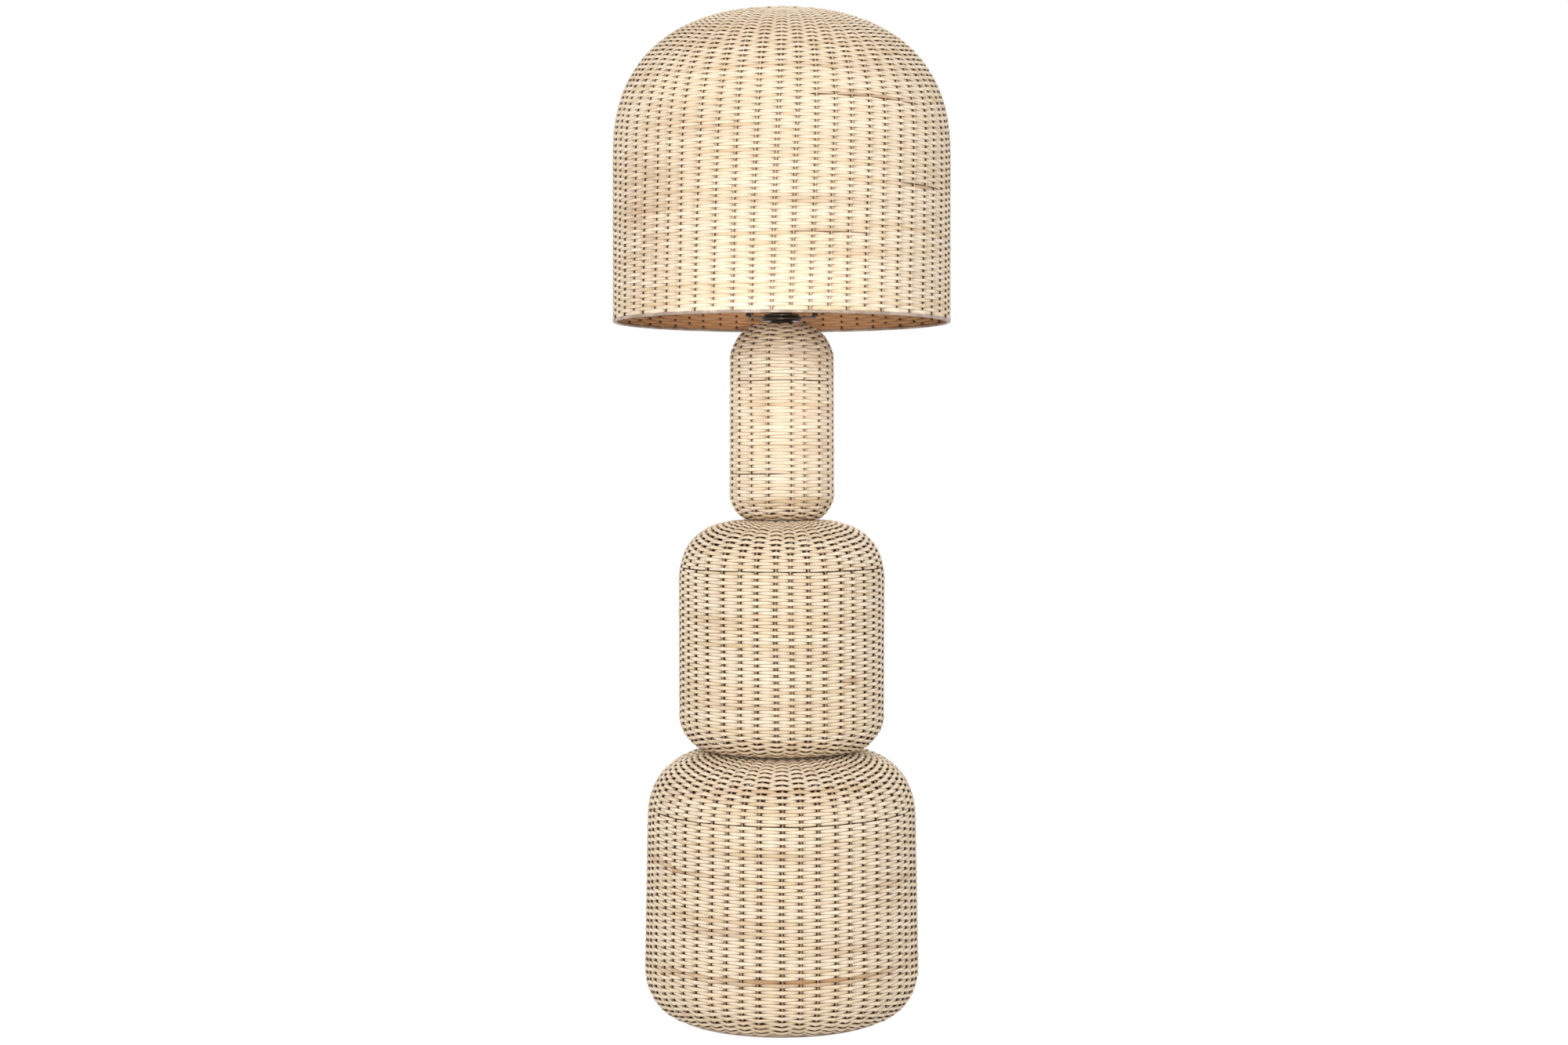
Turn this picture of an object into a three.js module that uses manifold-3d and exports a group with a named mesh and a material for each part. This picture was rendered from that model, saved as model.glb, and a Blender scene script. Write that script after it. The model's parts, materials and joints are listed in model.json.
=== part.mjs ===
// Stacked rattan floor lamp: three woven bodies on a tie pipe, a harp and a woven dome shade.
// Lengths are in millimetres, +Z is up and the floor is at zero.
import * as THREE from 'three';
import { mergeVertices } from 'three/addons/utils/BufferGeometryUtils.js';
import Module from 'manifold-3d';

// Clearances
const seatGap = 0.3;
const turnGap = 0.5;
const stackGap = 1;
const cutOverrun = 3;
const weldOverlap = 1.5;

// Woven reed wall and the wire cage inside it
const weaveWall = 4;
const ribDepth = 3.2;
const ribWidth = 3.2;
const ribTail = 4;
const ringWidth = 5;
const plateThickness = 3;
const hubRadius = 25;
const spokeWidth = 12;

// Base
const padRadius = 12;
const padHeight = 5;
const padCircleRadius = 110;
const basePlateRadius = 150;
const basePlateThickness = 12;
const basePlateChamfer = 2;
const nutRecessRadius = 16;
const nutRecessDepth = 6;

// Lower body, whose foot clears the base plate
const footClearance = 1;
const footRingDrop = 3;
const basePlateFootGap = 15.5;
const lowerFootRun = 39.8;
const lowerWallTaper = 3.7;
const lowerFootRise = 60;
const lowerWallRise = 218;
const lowerShoulderRise = 111.5;
const lowerMouthRadius = 71;

// Middle body
const middleFootRadius = 116;
const middleFootRise = 45.5;
const middleWallBottomRadius = 153.8;
const middleWallTopRadius = 154.5;
const middleWallRise = 201;
const middleShoulderRise = 95;
const middleMouthRadius = 50.5;

// Upper body
const upperFootRadius = 52;
const upperFootRise = 36;
const upperWallBottomRadius = 78.8;
const upperWallTopRadius = 78.2;
const upperWallRise = 208;
const upperShoulderRise = 50;
const upperMouthRadius = 38.5;

// Shade
const rimRingHeight = 5.4;
const rimRingWidth = 6;
const shadeRimRadius = 253.5;
const shadeWallRadius = 254;
const shadeWallRise = 238.5;
const domeRise = 222;
const domeEyeRadius = 9.4;
const domeDiscRadius = 24;
const carrierRingHeight = 4;

// Shade fitter and finial
const fitterRise = 267;
const fitterHubRadius = 19;
const fitterThickness = 2.5;
const fitterArmWidth = 5;
const finialRadius = 9;
const finialNeckRadius = 6;
const finialHeight = 22;
const finialSkirtHeight = 7;
const finialWaistHeight = 11;
const finialRounding = 3.5;
const finialBoreDepth = 14;

// Tie pipe, its nuts and the spacer tubes
const pipeRadius = 5;
const pipeWall = 1.2;
const pipeOverhang = 1;
const tubeRadius = 12.5;
const tubeWall = 1.5;
const couplingRadius = 8.5;
const couplingLength = 30;
const nutRadius = 9.2;
const nutThickness = 4;
const spacerRadius = 22;

// Cord grommet
const grommetRise = 12;
const grommetFlangeRadius = 10;
const grommetFlangeThickness = 2;
const grommetNeckRadius = 7;
const grommetBoreRadius = 3.6;
const grommetReach = 3;

// Neck
const neckHubRadius = 17.5;
const neckHubRise = 4.2;
const neckFlangeRadius = 30.5;
const neckFlangeThickness = 4.8;
const neckFlangeRounding = 1.6;

// Harp
const harpHalfWidth = 50;
const harpHeight = 258;
const saddleWidth = 12;
const saddleThickness = 1.6;
const postWidth = 4;
const postThickness = 2.4;
const postHeight = 9;
const bowRadius = 2.4;
const sleeveWall = 1.4;
const sleeveLength = 18;
const bossRadius = 8;
const bossHeight = 8;
const studRadius = 3.1;
const studRise = 14;
const studHeadRadius = 6;
const studHeadThickness = 2;
const seatRadius = 11;
const seatThickness = 2;

// Lamp holder
const holderDiscRadius = 26.5;
const holderDiscThickness = 3;
const holderCapWall = 1.2;
const holderCapHeight = 11;
const holderShellWall = 1;
const holderShellHeight = 58;
const linerWall = 0.8;
const screwShellWall = 0.6;
const screwShellHeight = 30;
const coreFlangeThickness = 3;
const coreLowerHeight = 11;
const coreUpperHeight = 6;
const coreFloorGap = 1;
const contactRadius = 3;
const contactThickness = 1.5;

// Rotary switch
const spindleRadius = 2.5;
const spindleInnerEnd = 6;
const knobRadius = 7;
const knobLength = 12;
const knobCapThickness = 3;
const knobRounding = 1;

// Bulb
const bulbCapRadius = 13.1;
const bulbCapWall = 0.9;
const bulbCapHeight = 24;
const bulbThreadDepth = 0.7;
const bulbTipRadius = 4.8;
const bulbTipHeight = 2;
const bulbNeckRise = 4;
const bulbGlassRadius = 30;
const bulbGlassWall = 1;
const bulbGlassHeight = 84;

// Counts and pure numbers
const padCount = 4;
const lowerRibs = 8;
const lowerSpokes = 4;
const lowerFacets = 32;
const middleRibs = 8;
const middleSpokes = 4;
const middleFacets = 32;
const upperRibs = 6;
const upperSpokes = 3;
const upperFacets = 24;
const shadeRibs = 12;
const shadeFacets = 36;
const fitterArms = 3;
const bendSteps = 4;
const shoulderSteps = 5;
const domeSteps = 8;
const hardwareFacets = 16;
const neckFacets = 28;
const wireSides = 6;
const bowSteps = 36;
const bulbThreads = 4;
const bulbSteps = 5;
const lowerFootSquareness = 1.8;
const lowerShoulderSquareness = 2.53;
const middleFootSquareness = 1.7;
const middleShoulderSquareness = 2.45;
const upperFootSquareness = 1.6;
const upperShoulderSquareness = 1.6;
const domeSquareness = 2.42;
const padStartShare = 0.5;
const ribStartShare = 0.5;
const rimFlatShares = [0.25, 0.75];
const fitterTurnShare = 0.25;
const couplingHeightShare = 0.5;
const bulbWaistShare = 0.25;
const threadValleyShare = 0.5;

// The bow's outline from a foot to the boss, as shares of its half width and of its rise
const bowOutlineShares = [
  [1, 0], [1, 0.06], [1, 0.12], [1.08, 0.26], [1.14, 0.45],
  [1.08, 0.65], [0.82, 0.84], [0.42, 0.96], [0, 1],
];

// Levels of the stack, from the floor up
const basePlateBottom = padHeight + seatGap;
const basePlateTop = basePlateBottom + basePlateThickness;
const lowerBottom = footClearance + footRingDrop;
const lowerTop = lowerBottom + lowerFootRise + lowerWallRise + lowerShoulderRise;
const middleBottom = lowerTop + stackGap;
const middleTop = middleBottom + middleFootRise + middleWallRise + middleShoulderRise;
const upperBottom = middleTop + stackGap;
const upperTop = upperBottom + upperFootRise + upperWallRise + upperShoulderRise;
const neckHubTop = upperTop + neckHubRise;
const neckFlangeBottom = neckHubTop + seatGap;
const saddleBottom = neckFlangeBottom + neckFlangeThickness + seatGap;
const saddleTop = saddleBottom + saddleThickness;
const holderDiscBottom = saddleTop + seatGap;
const holderCapBottom = holderDiscBottom + holderDiscThickness + seatGap;
const seatTop = saddleBottom + harpHeight;
const fitterBottom = seatTop + seatGap;
const fitterTop = fitterBottom + fitterThickness;
const shadeRimBottom = fitterBottom - fitterRise;
const shadeWeaveBottom = shadeRimBottom + rimRingHeight + seatGap;

// Radii of the lower body
const lowerFootRadius = basePlateRadius + basePlateFootGap;
const lowerWallBottomRadius = lowerFootRadius + lowerFootRun;
const lowerWallTopRadius = lowerWallBottomRadius - lowerWallTaper;

// Sizes that several pieces share
const pipeHoleRadius = pipeRadius + seatGap;
const ringHeight = weaveWall + seatGap + ribDepth / 2;
const plateDrop = weaveWall + seatGap + plateThickness;
const bottomHubRise = (ringHeight - plateThickness) / 2;

// The four woven bodies. Each has a rounded foot, a wall and a rounded shoulder.
const lowerBody = {
  bottom: lowerBottom, facets: lowerFacets, ribs: lowerRibs, spokes: lowerSpokes, shoulderSteps,
  footRadius: lowerFootRadius, footRise: lowerFootRise, footSquareness: lowerFootSquareness,
  wallBottomRadius: lowerWallBottomRadius, wallRise: lowerWallRise, wallTopRadius: lowerWallTopRadius,
  shoulderRise: lowerShoulderRise, shoulderSquareness: lowerShoulderSquareness,
  mouthRadius: lowerMouthRadius, ringDrop: footRingDrop, hubBottom: basePlateTop + seatGap,
};
const middleBody = {
  bottom: middleBottom, facets: middleFacets, ribs: middleRibs, spokes: middleSpokes, shoulderSteps,
  footRadius: middleFootRadius, footRise: middleFootRise, footSquareness: middleFootSquareness,
  wallBottomRadius: middleWallBottomRadius, wallRise: middleWallRise, wallTopRadius: middleWallTopRadius,
  shoulderRise: middleShoulderRise, shoulderSquareness: middleShoulderSquareness,
  mouthRadius: middleMouthRadius, ringDrop: 0, hubBottom: middleBottom + bottomHubRise,
};
const upperBody = {
  bottom: upperBottom, facets: upperFacets, ribs: upperRibs, spokes: upperSpokes, shoulderSteps,
  footRadius: upperFootRadius, footRise: upperFootRise, footSquareness: upperFootSquareness,
  wallBottomRadius: upperWallBottomRadius, wallRise: upperWallRise, wallTopRadius: upperWallTopRadius,
  shoulderRise: upperShoulderRise, shoulderSquareness: upperShoulderSquareness,
  mouthRadius: upperMouthRadius, ringDrop: 0, hubBottom: upperBottom + bottomHubRise,
};
const shadeBody = {
  bottom: shadeWeaveBottom, facets: shadeFacets, ribs: shadeRibs, shoulderSteps: domeSteps,
  footRadius: shadeRimRadius, footRise: 0, footSquareness: domeSquareness,
  wallBottomRadius: shadeRimRadius, wallRise: shadeWallRise, wallTopRadius: shadeWallRadius,
  shoulderRise: domeRise, shoulderSquareness: domeSquareness, mouthRadius: domeEyeRadius,
};

// Finishes
function finish(color, roughness, metalness) {
  return new THREE.MeshStandardMaterial({ color, roughness, metalness });
}
const reed = finish(0xe6cfa6, 0.6, 0);
const wire = finish(0x8d7a6b, 0.5, 0.1);
const castIron = finish(0x33302e, 0.7, 0.6);
const rubber = finish(0x1c1b1a, 0.85, 0);
const steel = finish(0xb9b6b0, 0.35, 1);
const bronze = finish(0x2b2320, 0.25, 0.8);
const brass = finish(0xb8935a, 0.3, 1);
const moulding = finish(0x262322, 0.5, 0);
const card = finish(0x8a7a62, 0.9, 0);
const glass = finish(0xf4f1e8, 0.2, 0);

// Solids
const wasm = await Module();
wasm.setup();

function toSolid(geometry) {
  const bare = geometry.clone();
  bare.deleteAttribute('normal');
  bare.deleteAttribute('uv');
  const merged = mergeVertices(bare);
  const index = Array.from(merged.index.array);
  const kept = [];
  for (let i = 0; i < index.length; i += 3) {
    const [a, b, c] = index.slice(i, i + 3);
    if (a !== b && b !== c && c !== a) kept.push(a, b, c);
  }
  return new wasm.Manifold(new wasm.Mesh({
    numProp: 3,
    vertProperties: new Float32Array(merged.attributes.position.array),
    triVerts: new Uint32Array(kept),
  }));
}

function toGeometry(solid) {
  const data = solid.getMesh();
  const geometry = new THREE.BufferGeometry();
  geometry.setAttribute('position', new THREE.BufferAttribute(data.vertProperties, 3));
  geometry.setIndex(new THREE.BufferAttribute(data.triVerts, 1));
  geometry.computeVertexNormals();
  return geometry;
}

function join(geometries) {
  const solids = geometries.map(toSolid);
  return toGeometry(solids.slice(1).reduce((whole, next) => whole.add(next), solids[0]));
}

function cut(geometry, tools) {
  return toGeometry(tools.map(toSolid).reduce((whole, tool) => whole.subtract(tool), toSolid(geometry)));
}

// A turned piece from [radius, height] corners, with a flat facing each of the X and Y directions
function turned(corners, facets = hardwareFacets) {
  const points = corners.map(([radius, height]) => new THREE.Vector2(radius, height));
  const geometry = new THREE.LatheGeometry(points, facets, Math.PI / facets, 2 * Math.PI);
  return geometry.rotateX(Math.PI / 2);
}

function turnedRing(innerRadius, outerRadius, bottom, top, facets = hardwareFacets) {
  return turned([
    [innerRadius, bottom], [outerRadius, bottom], [outerRadius, top], [innerRadius, top],
    [innerRadius, bottom],
  ], facets);
}

function turnedRod(radius, bottom, top, facets = hardwareFacets) {
  return turned([[0, bottom], [radius, bottom], [radius, top], [0, top]], facets);
}

// A block with its middle at x and y, standing on the level bottom
function block(length, width, height, x, y, bottom) {
  return new THREE.BoxGeometry(length, width, height).translate(x, y, bottom + height / 2);
}

const flatShare = (facets) => Math.cos(Math.PI / facets);

// One rounded quarter of a body's outline, moved in from the surface by inset
function roundedQuarter({ startRadius, startLevel, run, rise, squareness, steps, inset }) {
  const direction = Math.sign(rise);
  return Array.from({ length: steps + 1 }, (_, i) => {
    const angle = (i / steps) * (Math.PI / 2);
    const across = Math.max(Math.cos(angle), 0);
    const along = Math.sin(angle);
    const normal = new THREE.Vector2(
      across ** (2 - 2 / squareness) / run,
      along ** (2 - 2 / squareness) / Math.abs(rise),
    ).normalize();
    return [
      startRadius - run + run * across ** (2 / squareness) - inset * normal.x,
      startLevel + rise * along ** (2 / squareness) - inset * normal.y * direction,
    ];
  });
}

// A body's outline from its foot to its mouth, as [radius, height] points
function bodyOutline(body, inset) {
  const wallBottom = body.bottom + body.footRise;
  const foot = body.footRise > 0 ? roundedQuarter({
    startRadius: body.wallBottomRadius, startLevel: wallBottom, rise: -body.footRise,
    run: body.wallBottomRadius - body.footRadius, squareness: body.footSquareness, steps: bendSteps, inset,
  }).reverse() : [[body.wallBottomRadius - inset, wallBottom]];
  const shoulder = roundedQuarter({
    startRadius: body.wallTopRadius, startLevel: wallBottom + body.wallRise, rise: body.shoulderRise,
    run: body.wallTopRadius - body.mouthRadius, squareness: body.shoulderSquareness,
    steps: body.shoulderSteps, inset,
  });
  return [...foot, ...shoulder];
}

function wovenShell(body) {
  const outer = bodyOutline(body, 0);
  const inner = bodyOutline(body, weaveWall).reverse();
  return turned([...outer, ...inner, outer[0]], body.facets);
}

// One flat wire rib that follows the inside of the weave, with a tail at each end to weld to
function cageRib(body, angle, tails) {
  const share = flatShare(body.facets);
  const face = bodyOutline(body, weaveWall + seatGap);
  const back = bodyOutline(body, weaveWall + seatGap + ribDepth);
  const last = face.length - 1;
  const shift = ([radius, height], [outward, upward]) => [radius + outward, height + upward];
  const corners = [
    shift(face[0], tails.foot), ...face, shift(face[last], tails.mouth),
    shift(back[last], tails.mouth), ...back.reverse(), shift(back[last], tails.foot),
  ].map(([radius, height]) => new THREE.Vector2(radius * share, height));
  return new THREE.ExtrudeGeometry(new THREE.Shape(corners), { depth: ribWidth, bevelEnabled: false })
    .translate(0, 0, -ribWidth / 2).rotateX(Math.PI / 2).rotateZ(angle);
}

// A stand body's cage: ribs, foot ring, bottom hub on spokes, and top plate, welded into one
function standCage(body) {
  const mouthLevel = bodyOutline(body, 0).at(-1)[1];
  const ringOuter = body.footRadius - seatGap;
  const ringInner = ringOuter - ringWidth;
  const ringBottom = body.bottom - body.ringDrop;
  const ringTop = body.bottom + ringHeight;
  const tails = { foot: [-ribTail, 0], mouth: [-ribTail, 0] };
  const spokeEnd = spokeReach(body);
  const ribAngle = (i) => ((i + ribStartShare) / body.ribs) * 2 * Math.PI;
  const ribs = Array.from({ length: body.ribs }, (_, i) => cageRib(body, ribAngle(i), tails));
  const spokes = Array.from({ length: body.spokes }, (_, i) => block(
    spokeEnd - pipeHoleRadius - weldOverlap, spokeWidth, plateThickness,
    (spokeEnd + pipeHoleRadius + weldOverlap) / 2, 0, body.hubBottom,
  ).rotateZ(ribAngle((i * body.ribs) / body.spokes)));
  const plateBottom = mouthLevel - plateDrop;
  const welded = join([
    turnedRing(ringInner, ringOuter, ringBottom, ringTop, body.facets),
    turnedRod(body.mouthRadius, plateBottom, plateBottom + plateThickness),
    turnedRod(hubRadius, body.hubBottom, body.hubBottom + plateThickness),
    ...ribs, ...spokes,
  ]);
  const hole = turnedRod(pipeHoleRadius, ringBottom - cutOverrun, mouthLevel + cutOverrun);
  return cut(welded, [hole]);
}

// The radius of a body's flat side at a level, inset from its surface
function flatRadiusAt(body, inset, level) {
  const path = bodyOutline(body, inset);
  const above = path.findIndex(([, height]) => height > level);
  const [[lowRadius, low], [highRadius, high]] = [path[above - 1], path[above]];
  return (lowRadius + ((level - low) / (high - low)) * (highRadius - lowRadius)) * flatShare(body.facets);
}

// How far out a spoke runs: into the foot ring, or to the middle of the ribs above it
function spokeReach(body) {
  const level = body.hubBottom + plateThickness / 2;
  const ringMiddle = (body.footRadius - seatGap - ringWidth / 2) * flatShare(body.facets);
  return level < body.bottom + ringHeight ? ringMiddle
    : flatRadiusAt(body, weaveWall + seatGap + ribDepth / 2, level);
}

// Scene
const lamp = new THREE.Group();

function add(name, geometry, material, place = [0, 0, 0], turn = [0, 0, 0]) {
  const mesh = new THREE.Mesh(geometry, material.clone());
  mesh.name = name;
  mesh.position.set(...place);
  mesh.rotation.set(...turn);
  lamp.add(mesh);
}

// Base: weighted plate with a recess for the nut, on pads
const nutTop = basePlateBottom + nutRecessDepth - seatGap;
const basePlate = turned([
  [pipeHoleRadius, basePlateBottom + nutRecessDepth], [nutRecessRadius, basePlateBottom + nutRecessDepth],
  [nutRecessRadius, basePlateBottom], [basePlateRadius, basePlateBottom],
  [basePlateRadius, basePlateTop - basePlateChamfer], [basePlateRadius - basePlateChamfer, basePlateTop],
  [pipeHoleRadius, basePlateTop], [pipeHoleRadius, basePlateBottom + nutRecessDepth],
], lowerFacets);
add('base_plate', basePlate, castIron);

for (let i = 0; i < padCount; i += 1) {
  const angle = ((i + padStartShare) / padCount) * 2 * Math.PI;
  const place = [padCircleRadius * Math.cos(angle), padCircleRadius * Math.sin(angle), 0];
  add(`foot_pad_${i + 1}`, turnedRod(padRadius, 0, padHeight), rubber, place);
}

// A six-sided nut that is clear of the pipe
function nut(top) {
  return turnedRing(pipeHoleRadius / flatShare(wireSides), nutRadius, top - nutThickness, top, wireSides);
}
add('base_nut', nut(nutTop), steel);

// The three woven stand bodies
add('lower_frame', standCage(lowerBody), wire);
add('middle_frame', standCage(middleBody), wire);
add('upper_frame', standCage(upperBody), wire);
add('middle_weave', wovenShell(middleBody), reed);
add('upper_weave', wovenShell(upperBody), reed);

// The lower weave has a hole at the back, near the floor, for the cord's grommet
const grommetLevel = lowerBottom + lowerFootRise + grommetRise;
const grommetSeat = flatRadiusAt(lowerBody, 0, grommetLevel);
const grommetHole = turnedRod(grommetNeckRadius + seatGap, -cutOverrun - weaveWall, cutOverrun)
  .rotateX(-Math.PI / 2).translate(0, grommetSeat, grommetLevel);
add('lower_weave', cut(wovenShell(lowerBody), [grommetHole]), reed);

const grommet = turned([
  [grommetBoreRadius, -weaveWall - grommetReach], [grommetNeckRadius, -weaveWall - grommetReach],
  [grommetNeckRadius, seatGap], [grommetFlangeRadius, seatGap],
  [grommetFlangeRadius, grommetFlangeThickness], [grommetBoreRadius, grommetFlangeThickness],
  [grommetBoreRadius, -weaveWall - grommetReach],
]);
add('cord_grommet', grommet, rubber, [0, grommetSeat, grommetLevel], [-Math.PI / 2, 0, 0]);

// Spacer tubes inside the bodies, and spacer washers between them
const plateBottomOf = (top) => top - plateDrop;
const plateTopOf = (top) => top - weaveWall - seatGap;

function spacerTube(name, body, top) {
  const bottom = body.hubBottom + plateThickness + seatGap;
  add(name, turnedRing(tubeRadius - tubeWall, tubeRadius, bottom, plateBottomOf(top) - seatGap), steel);
}

function spacerWasher(name, below, above) {
  const bottom = plateTopOf(below) + seatGap;
  add(name, turnedRing(pipeHoleRadius, spacerRadius, bottom, above.hubBottom - seatGap), steel);
}

spacerTube('lower_tube', lowerBody, lowerTop);
spacerTube('middle_tube', middleBody, middleTop);
spacerTube('upper_tube', upperBody, upperTop);
spacerWasher('lower_spacer', lowerTop, middleBody);
spacerWasher('middle_spacer', middleTop, upperBody);

// The tie pipe in two lengths that meet in a coupling inside the middle tube
const holderNutTop = holderCapBottom + holderCapWall + seatGap + nutThickness;
const pipeTop = holderNutTop + pipeOverhang;
const couplingMiddle = THREE.MathUtils.lerp(middleBottom, middleTop, couplingHeightShare);
const pipe = (bottom, top) => turnedRing(pipeRadius - pipeWall, pipeRadius, bottom, top);
add('tie_pipe_lower', pipe(nutTop - nutThickness, couplingMiddle - seatGap / 2), steel);
add('tie_pipe_upper', pipe(couplingMiddle + seatGap / 2, pipeTop), steel);
const couplingBottom = couplingMiddle - couplingLength / 2;
const couplingTop = couplingBottom + couplingLength;
add('pipe_coupling', turnedRing(pipeHoleRadius, couplingRadius, couplingBottom, couplingTop), brass);

// Neck: a collar in the upper body's mouth and a flange with a rounded lower edge
const neckHubBottom = plateTopOf(upperTop) + seatGap;
const neckHub = turnedRing(pipeHoleRadius, neckHubRadius, neckHubBottom, neckHubTop, neckFacets);
add('neck_hub', neckHub, bronze);
const neckFlangeTop = neckFlangeBottom + neckFlangeThickness;
const neckFlange = turned([
  [pipeHoleRadius, neckFlangeBottom], [neckFlangeRadius - neckFlangeRounding, neckFlangeBottom],
  [neckFlangeRadius, neckFlangeBottom + neckFlangeRounding], [neckFlangeRadius, neckFlangeTop],
  [pipeHoleRadius, neckFlangeTop], [pipeHoleRadius, neckFlangeBottom],
], neckFacets);
add('neck_flange', neckFlange, bronze);

// Harp saddle: a strip with a post at each end
const saddleLength = 2 * harpHalfWidth + postThickness;
const saddlePosts = [-1, 1].map((side) => block(
  postThickness, postWidth, postHeight + saddleThickness, side * harpHalfWidth, 0, saddleBottom,
));
const saddleStrip = block(saddleLength, saddleWidth, saddleThickness, 0, 0, saddleBottom);
const saddleHole = turnedRod(pipeHoleRadius, saddleBottom - cutOverrun, saddleTop + cutOverrun);
add('harp_saddle', cut(join([saddleStrip, ...saddlePosts]), [saddleHole]), bronze);

// Harp bow: one wire from foot to foot, through a boss that holds the swivel stud
const bowFoot = saddleTop + postHeight + seatGap;
const bossTop = seatTop - seatThickness - seatGap;
const bossBottom = bossTop - bossHeight;
const bowRise = bossTop - bossHeight / 2 - bowFoot;
const bowHalf = bowOutlineShares.map(([across, up]) => new THREE.Vector3(
  across * harpHalfWidth, 0, bowFoot + up * bowRise,
));
const bowMirror = bowHalf.slice(0, -1).reverse().map((point) => new THREE.Vector3(-point.x, 0, point.z));
const bowPath = new THREE.CatmullRomCurve3([...bowHalf, ...bowMirror]);
const bowSection = new THREE.Shape(Array.from({ length: wireSides }, (_, i) => {
  const angle = (i / wireSides) * 2 * Math.PI;
  return new THREE.Vector2(bowRadius * Math.cos(angle), bowRadius * Math.sin(angle));
}));
const bowWire = new THREE.ExtrudeGeometry(bowSection, {
  steps: bowSteps, extrudePath: bowPath, bevelEnabled: false,
});
const studHole = turnedRod(studRadius + turnGap, bossBottom - cutOverrun, bossTop + cutOverrun);
add('harp_bow', cut(join([bowWire, turnedRod(bossRadius, bossBottom, bossTop)]), [studHole]), bronze);

for (const [name, side] of [['harp_sleeve_left', -1], ['harp_sleeve_right', 1]]) {
  const inner = bowRadius + turnGap;
  const bottom = saddleTop + seatGap;
  const sleeve = turnedRing(inner, inner + sleeveWall, bottom, bottom + sleeveLength);
  add(name, sleeve, brass, [side * harpHalfWidth, 0, 0]);
}

// Swivel stud: rivet head under the boss, seat above it and the threaded end
const studHeadTop = bossBottom - seatGap;
const harpStud = turned([
  [0, studHeadTop - studHeadThickness], [studHeadRadius, studHeadTop - studHeadThickness],
  [studHeadRadius, studHeadTop], [studRadius, studHeadTop], [studRadius, seatTop - seatThickness],
  [seatRadius, seatTop - seatThickness], [seatRadius, seatTop], [studRadius, seatTop],
  [studRadius, seatTop + studRise], [0, seatTop + studRise],
]);
add('harp_stud', harpStud, brass);

// Lamp holder: radii from the bulb's cap outwards
const screwShellInner = bulbCapRadius + turnGap;
const screwShellOuter = screwShellInner + screwShellWall;
const linerInner = screwShellOuter + seatGap;
const linerOuter = linerInner + linerWall;
const shellInner = linerOuter + seatGap;
const shellOuter = shellInner + holderShellWall;
const capInner = shellOuter + seatGap;
const capOuter = capInner + holderCapWall;
const capFloor = holderCapBottom + holderCapWall;
const shellBottom = capFloor + seatGap;
const shellTop = shellBottom + holderShellHeight;
const coreBottom = pipeTop + coreFloorGap;
const coreFlangeTop = coreBottom + coreFlangeThickness;
const coreStep = coreFlangeTop + coreLowerHeight;
const coreTop = coreStep + coreUpperHeight;
const spindleLevel = coreFlangeTop + coreLowerHeight / 2;

const holderDiscTop = holderDiscBottom + holderDiscThickness;
const holderDisc = turnedRing(pipeHoleRadius, holderDiscRadius, holderDiscBottom, holderDiscTop, neckFacets);
add('holder_disc', holderDisc, bronze);
const holderCapTop = holderCapBottom + holderCapHeight;
const holderCap = turned([
  [pipeHoleRadius, holderCapBottom], [capOuter, holderCapBottom], [capOuter, holderCapTop],
  [capInner, holderCapTop], [capInner, capFloor], [pipeHoleRadius, capFloor],
  [pipeHoleRadius, holderCapBottom],
]);
add('holder_cap', holderCap, brass);
add('holder_nut', nut(holderNutTop), steel);

// A hole for the switch spindle, from its inner end out through the holder's walls
const spindleHole = turnedRod(spindleRadius + turnGap, spindleInnerEnd - turnGap, capOuter + cutOverrun)
  .rotateX(-Math.PI / 2).translate(0, 0, spindleLevel);
const holderCore = turned([
  [0, coreBottom], [linerOuter, coreBottom], [linerOuter, coreFlangeTop], [screwShellOuter, coreFlangeTop],
  [screwShellOuter, coreStep], [screwShellInner - seatGap, coreStep], [screwShellInner - seatGap, coreTop],
  [0, coreTop],
]);
add('holder_core', cut(holderCore, [spindleHole]), moulding);
const holderLiner = turnedRing(linerInner, linerOuter, coreFlangeTop + seatGap, shellTop);
add('holder_liner', cut(holderLiner, [spindleHole]), card);
const holderShell = turnedRing(shellInner, shellOuter, shellBottom, shellTop);
add('holder_shell', cut(holderShell, [spindleHole]), brass);
const screwShellBottom = coreStep + seatGap;
const screwShellTop = screwShellBottom + screwShellHeight;
const screwShell = turnedRing(screwShellInner, screwShellOuter, screwShellBottom, screwShellTop);
add('holder_screw_shell', screwShell, brass);
const contactBottom = coreTop + seatGap;
add('holder_contact', turnedRod(contactRadius, contactBottom, contactBottom + contactThickness), brass);

// Rotary switch: spindle and knob, pointing to the back
const knobStart = capOuter + turnGap;
const knobEnd = knobStart + knobLength;
const spindleEnd = knobEnd - knobCapThickness - seatGap;
const turnBack = [-Math.PI / 2, 0, 0];
const switchPlace = [0, 0, spindleLevel];
add('switch_spindle', turnedRod(spindleRadius, spindleInnerEnd, spindleEnd), brass, switchPlace, turnBack);
const knob = turned([
  [spindleRadius + seatGap, knobStart], [knobRadius, knobStart], [knobRadius, knobEnd - knobRounding],
  [knobRadius - knobRounding, knobEnd], [0, knobEnd], [0, knobEnd - knobCapThickness],
  [spindleRadius + seatGap, knobEnd - knobCapThickness], [spindleRadius + seatGap, knobStart],
]);
add('switch_knob', knob, moulding, switchPlace, turnBack);

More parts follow.
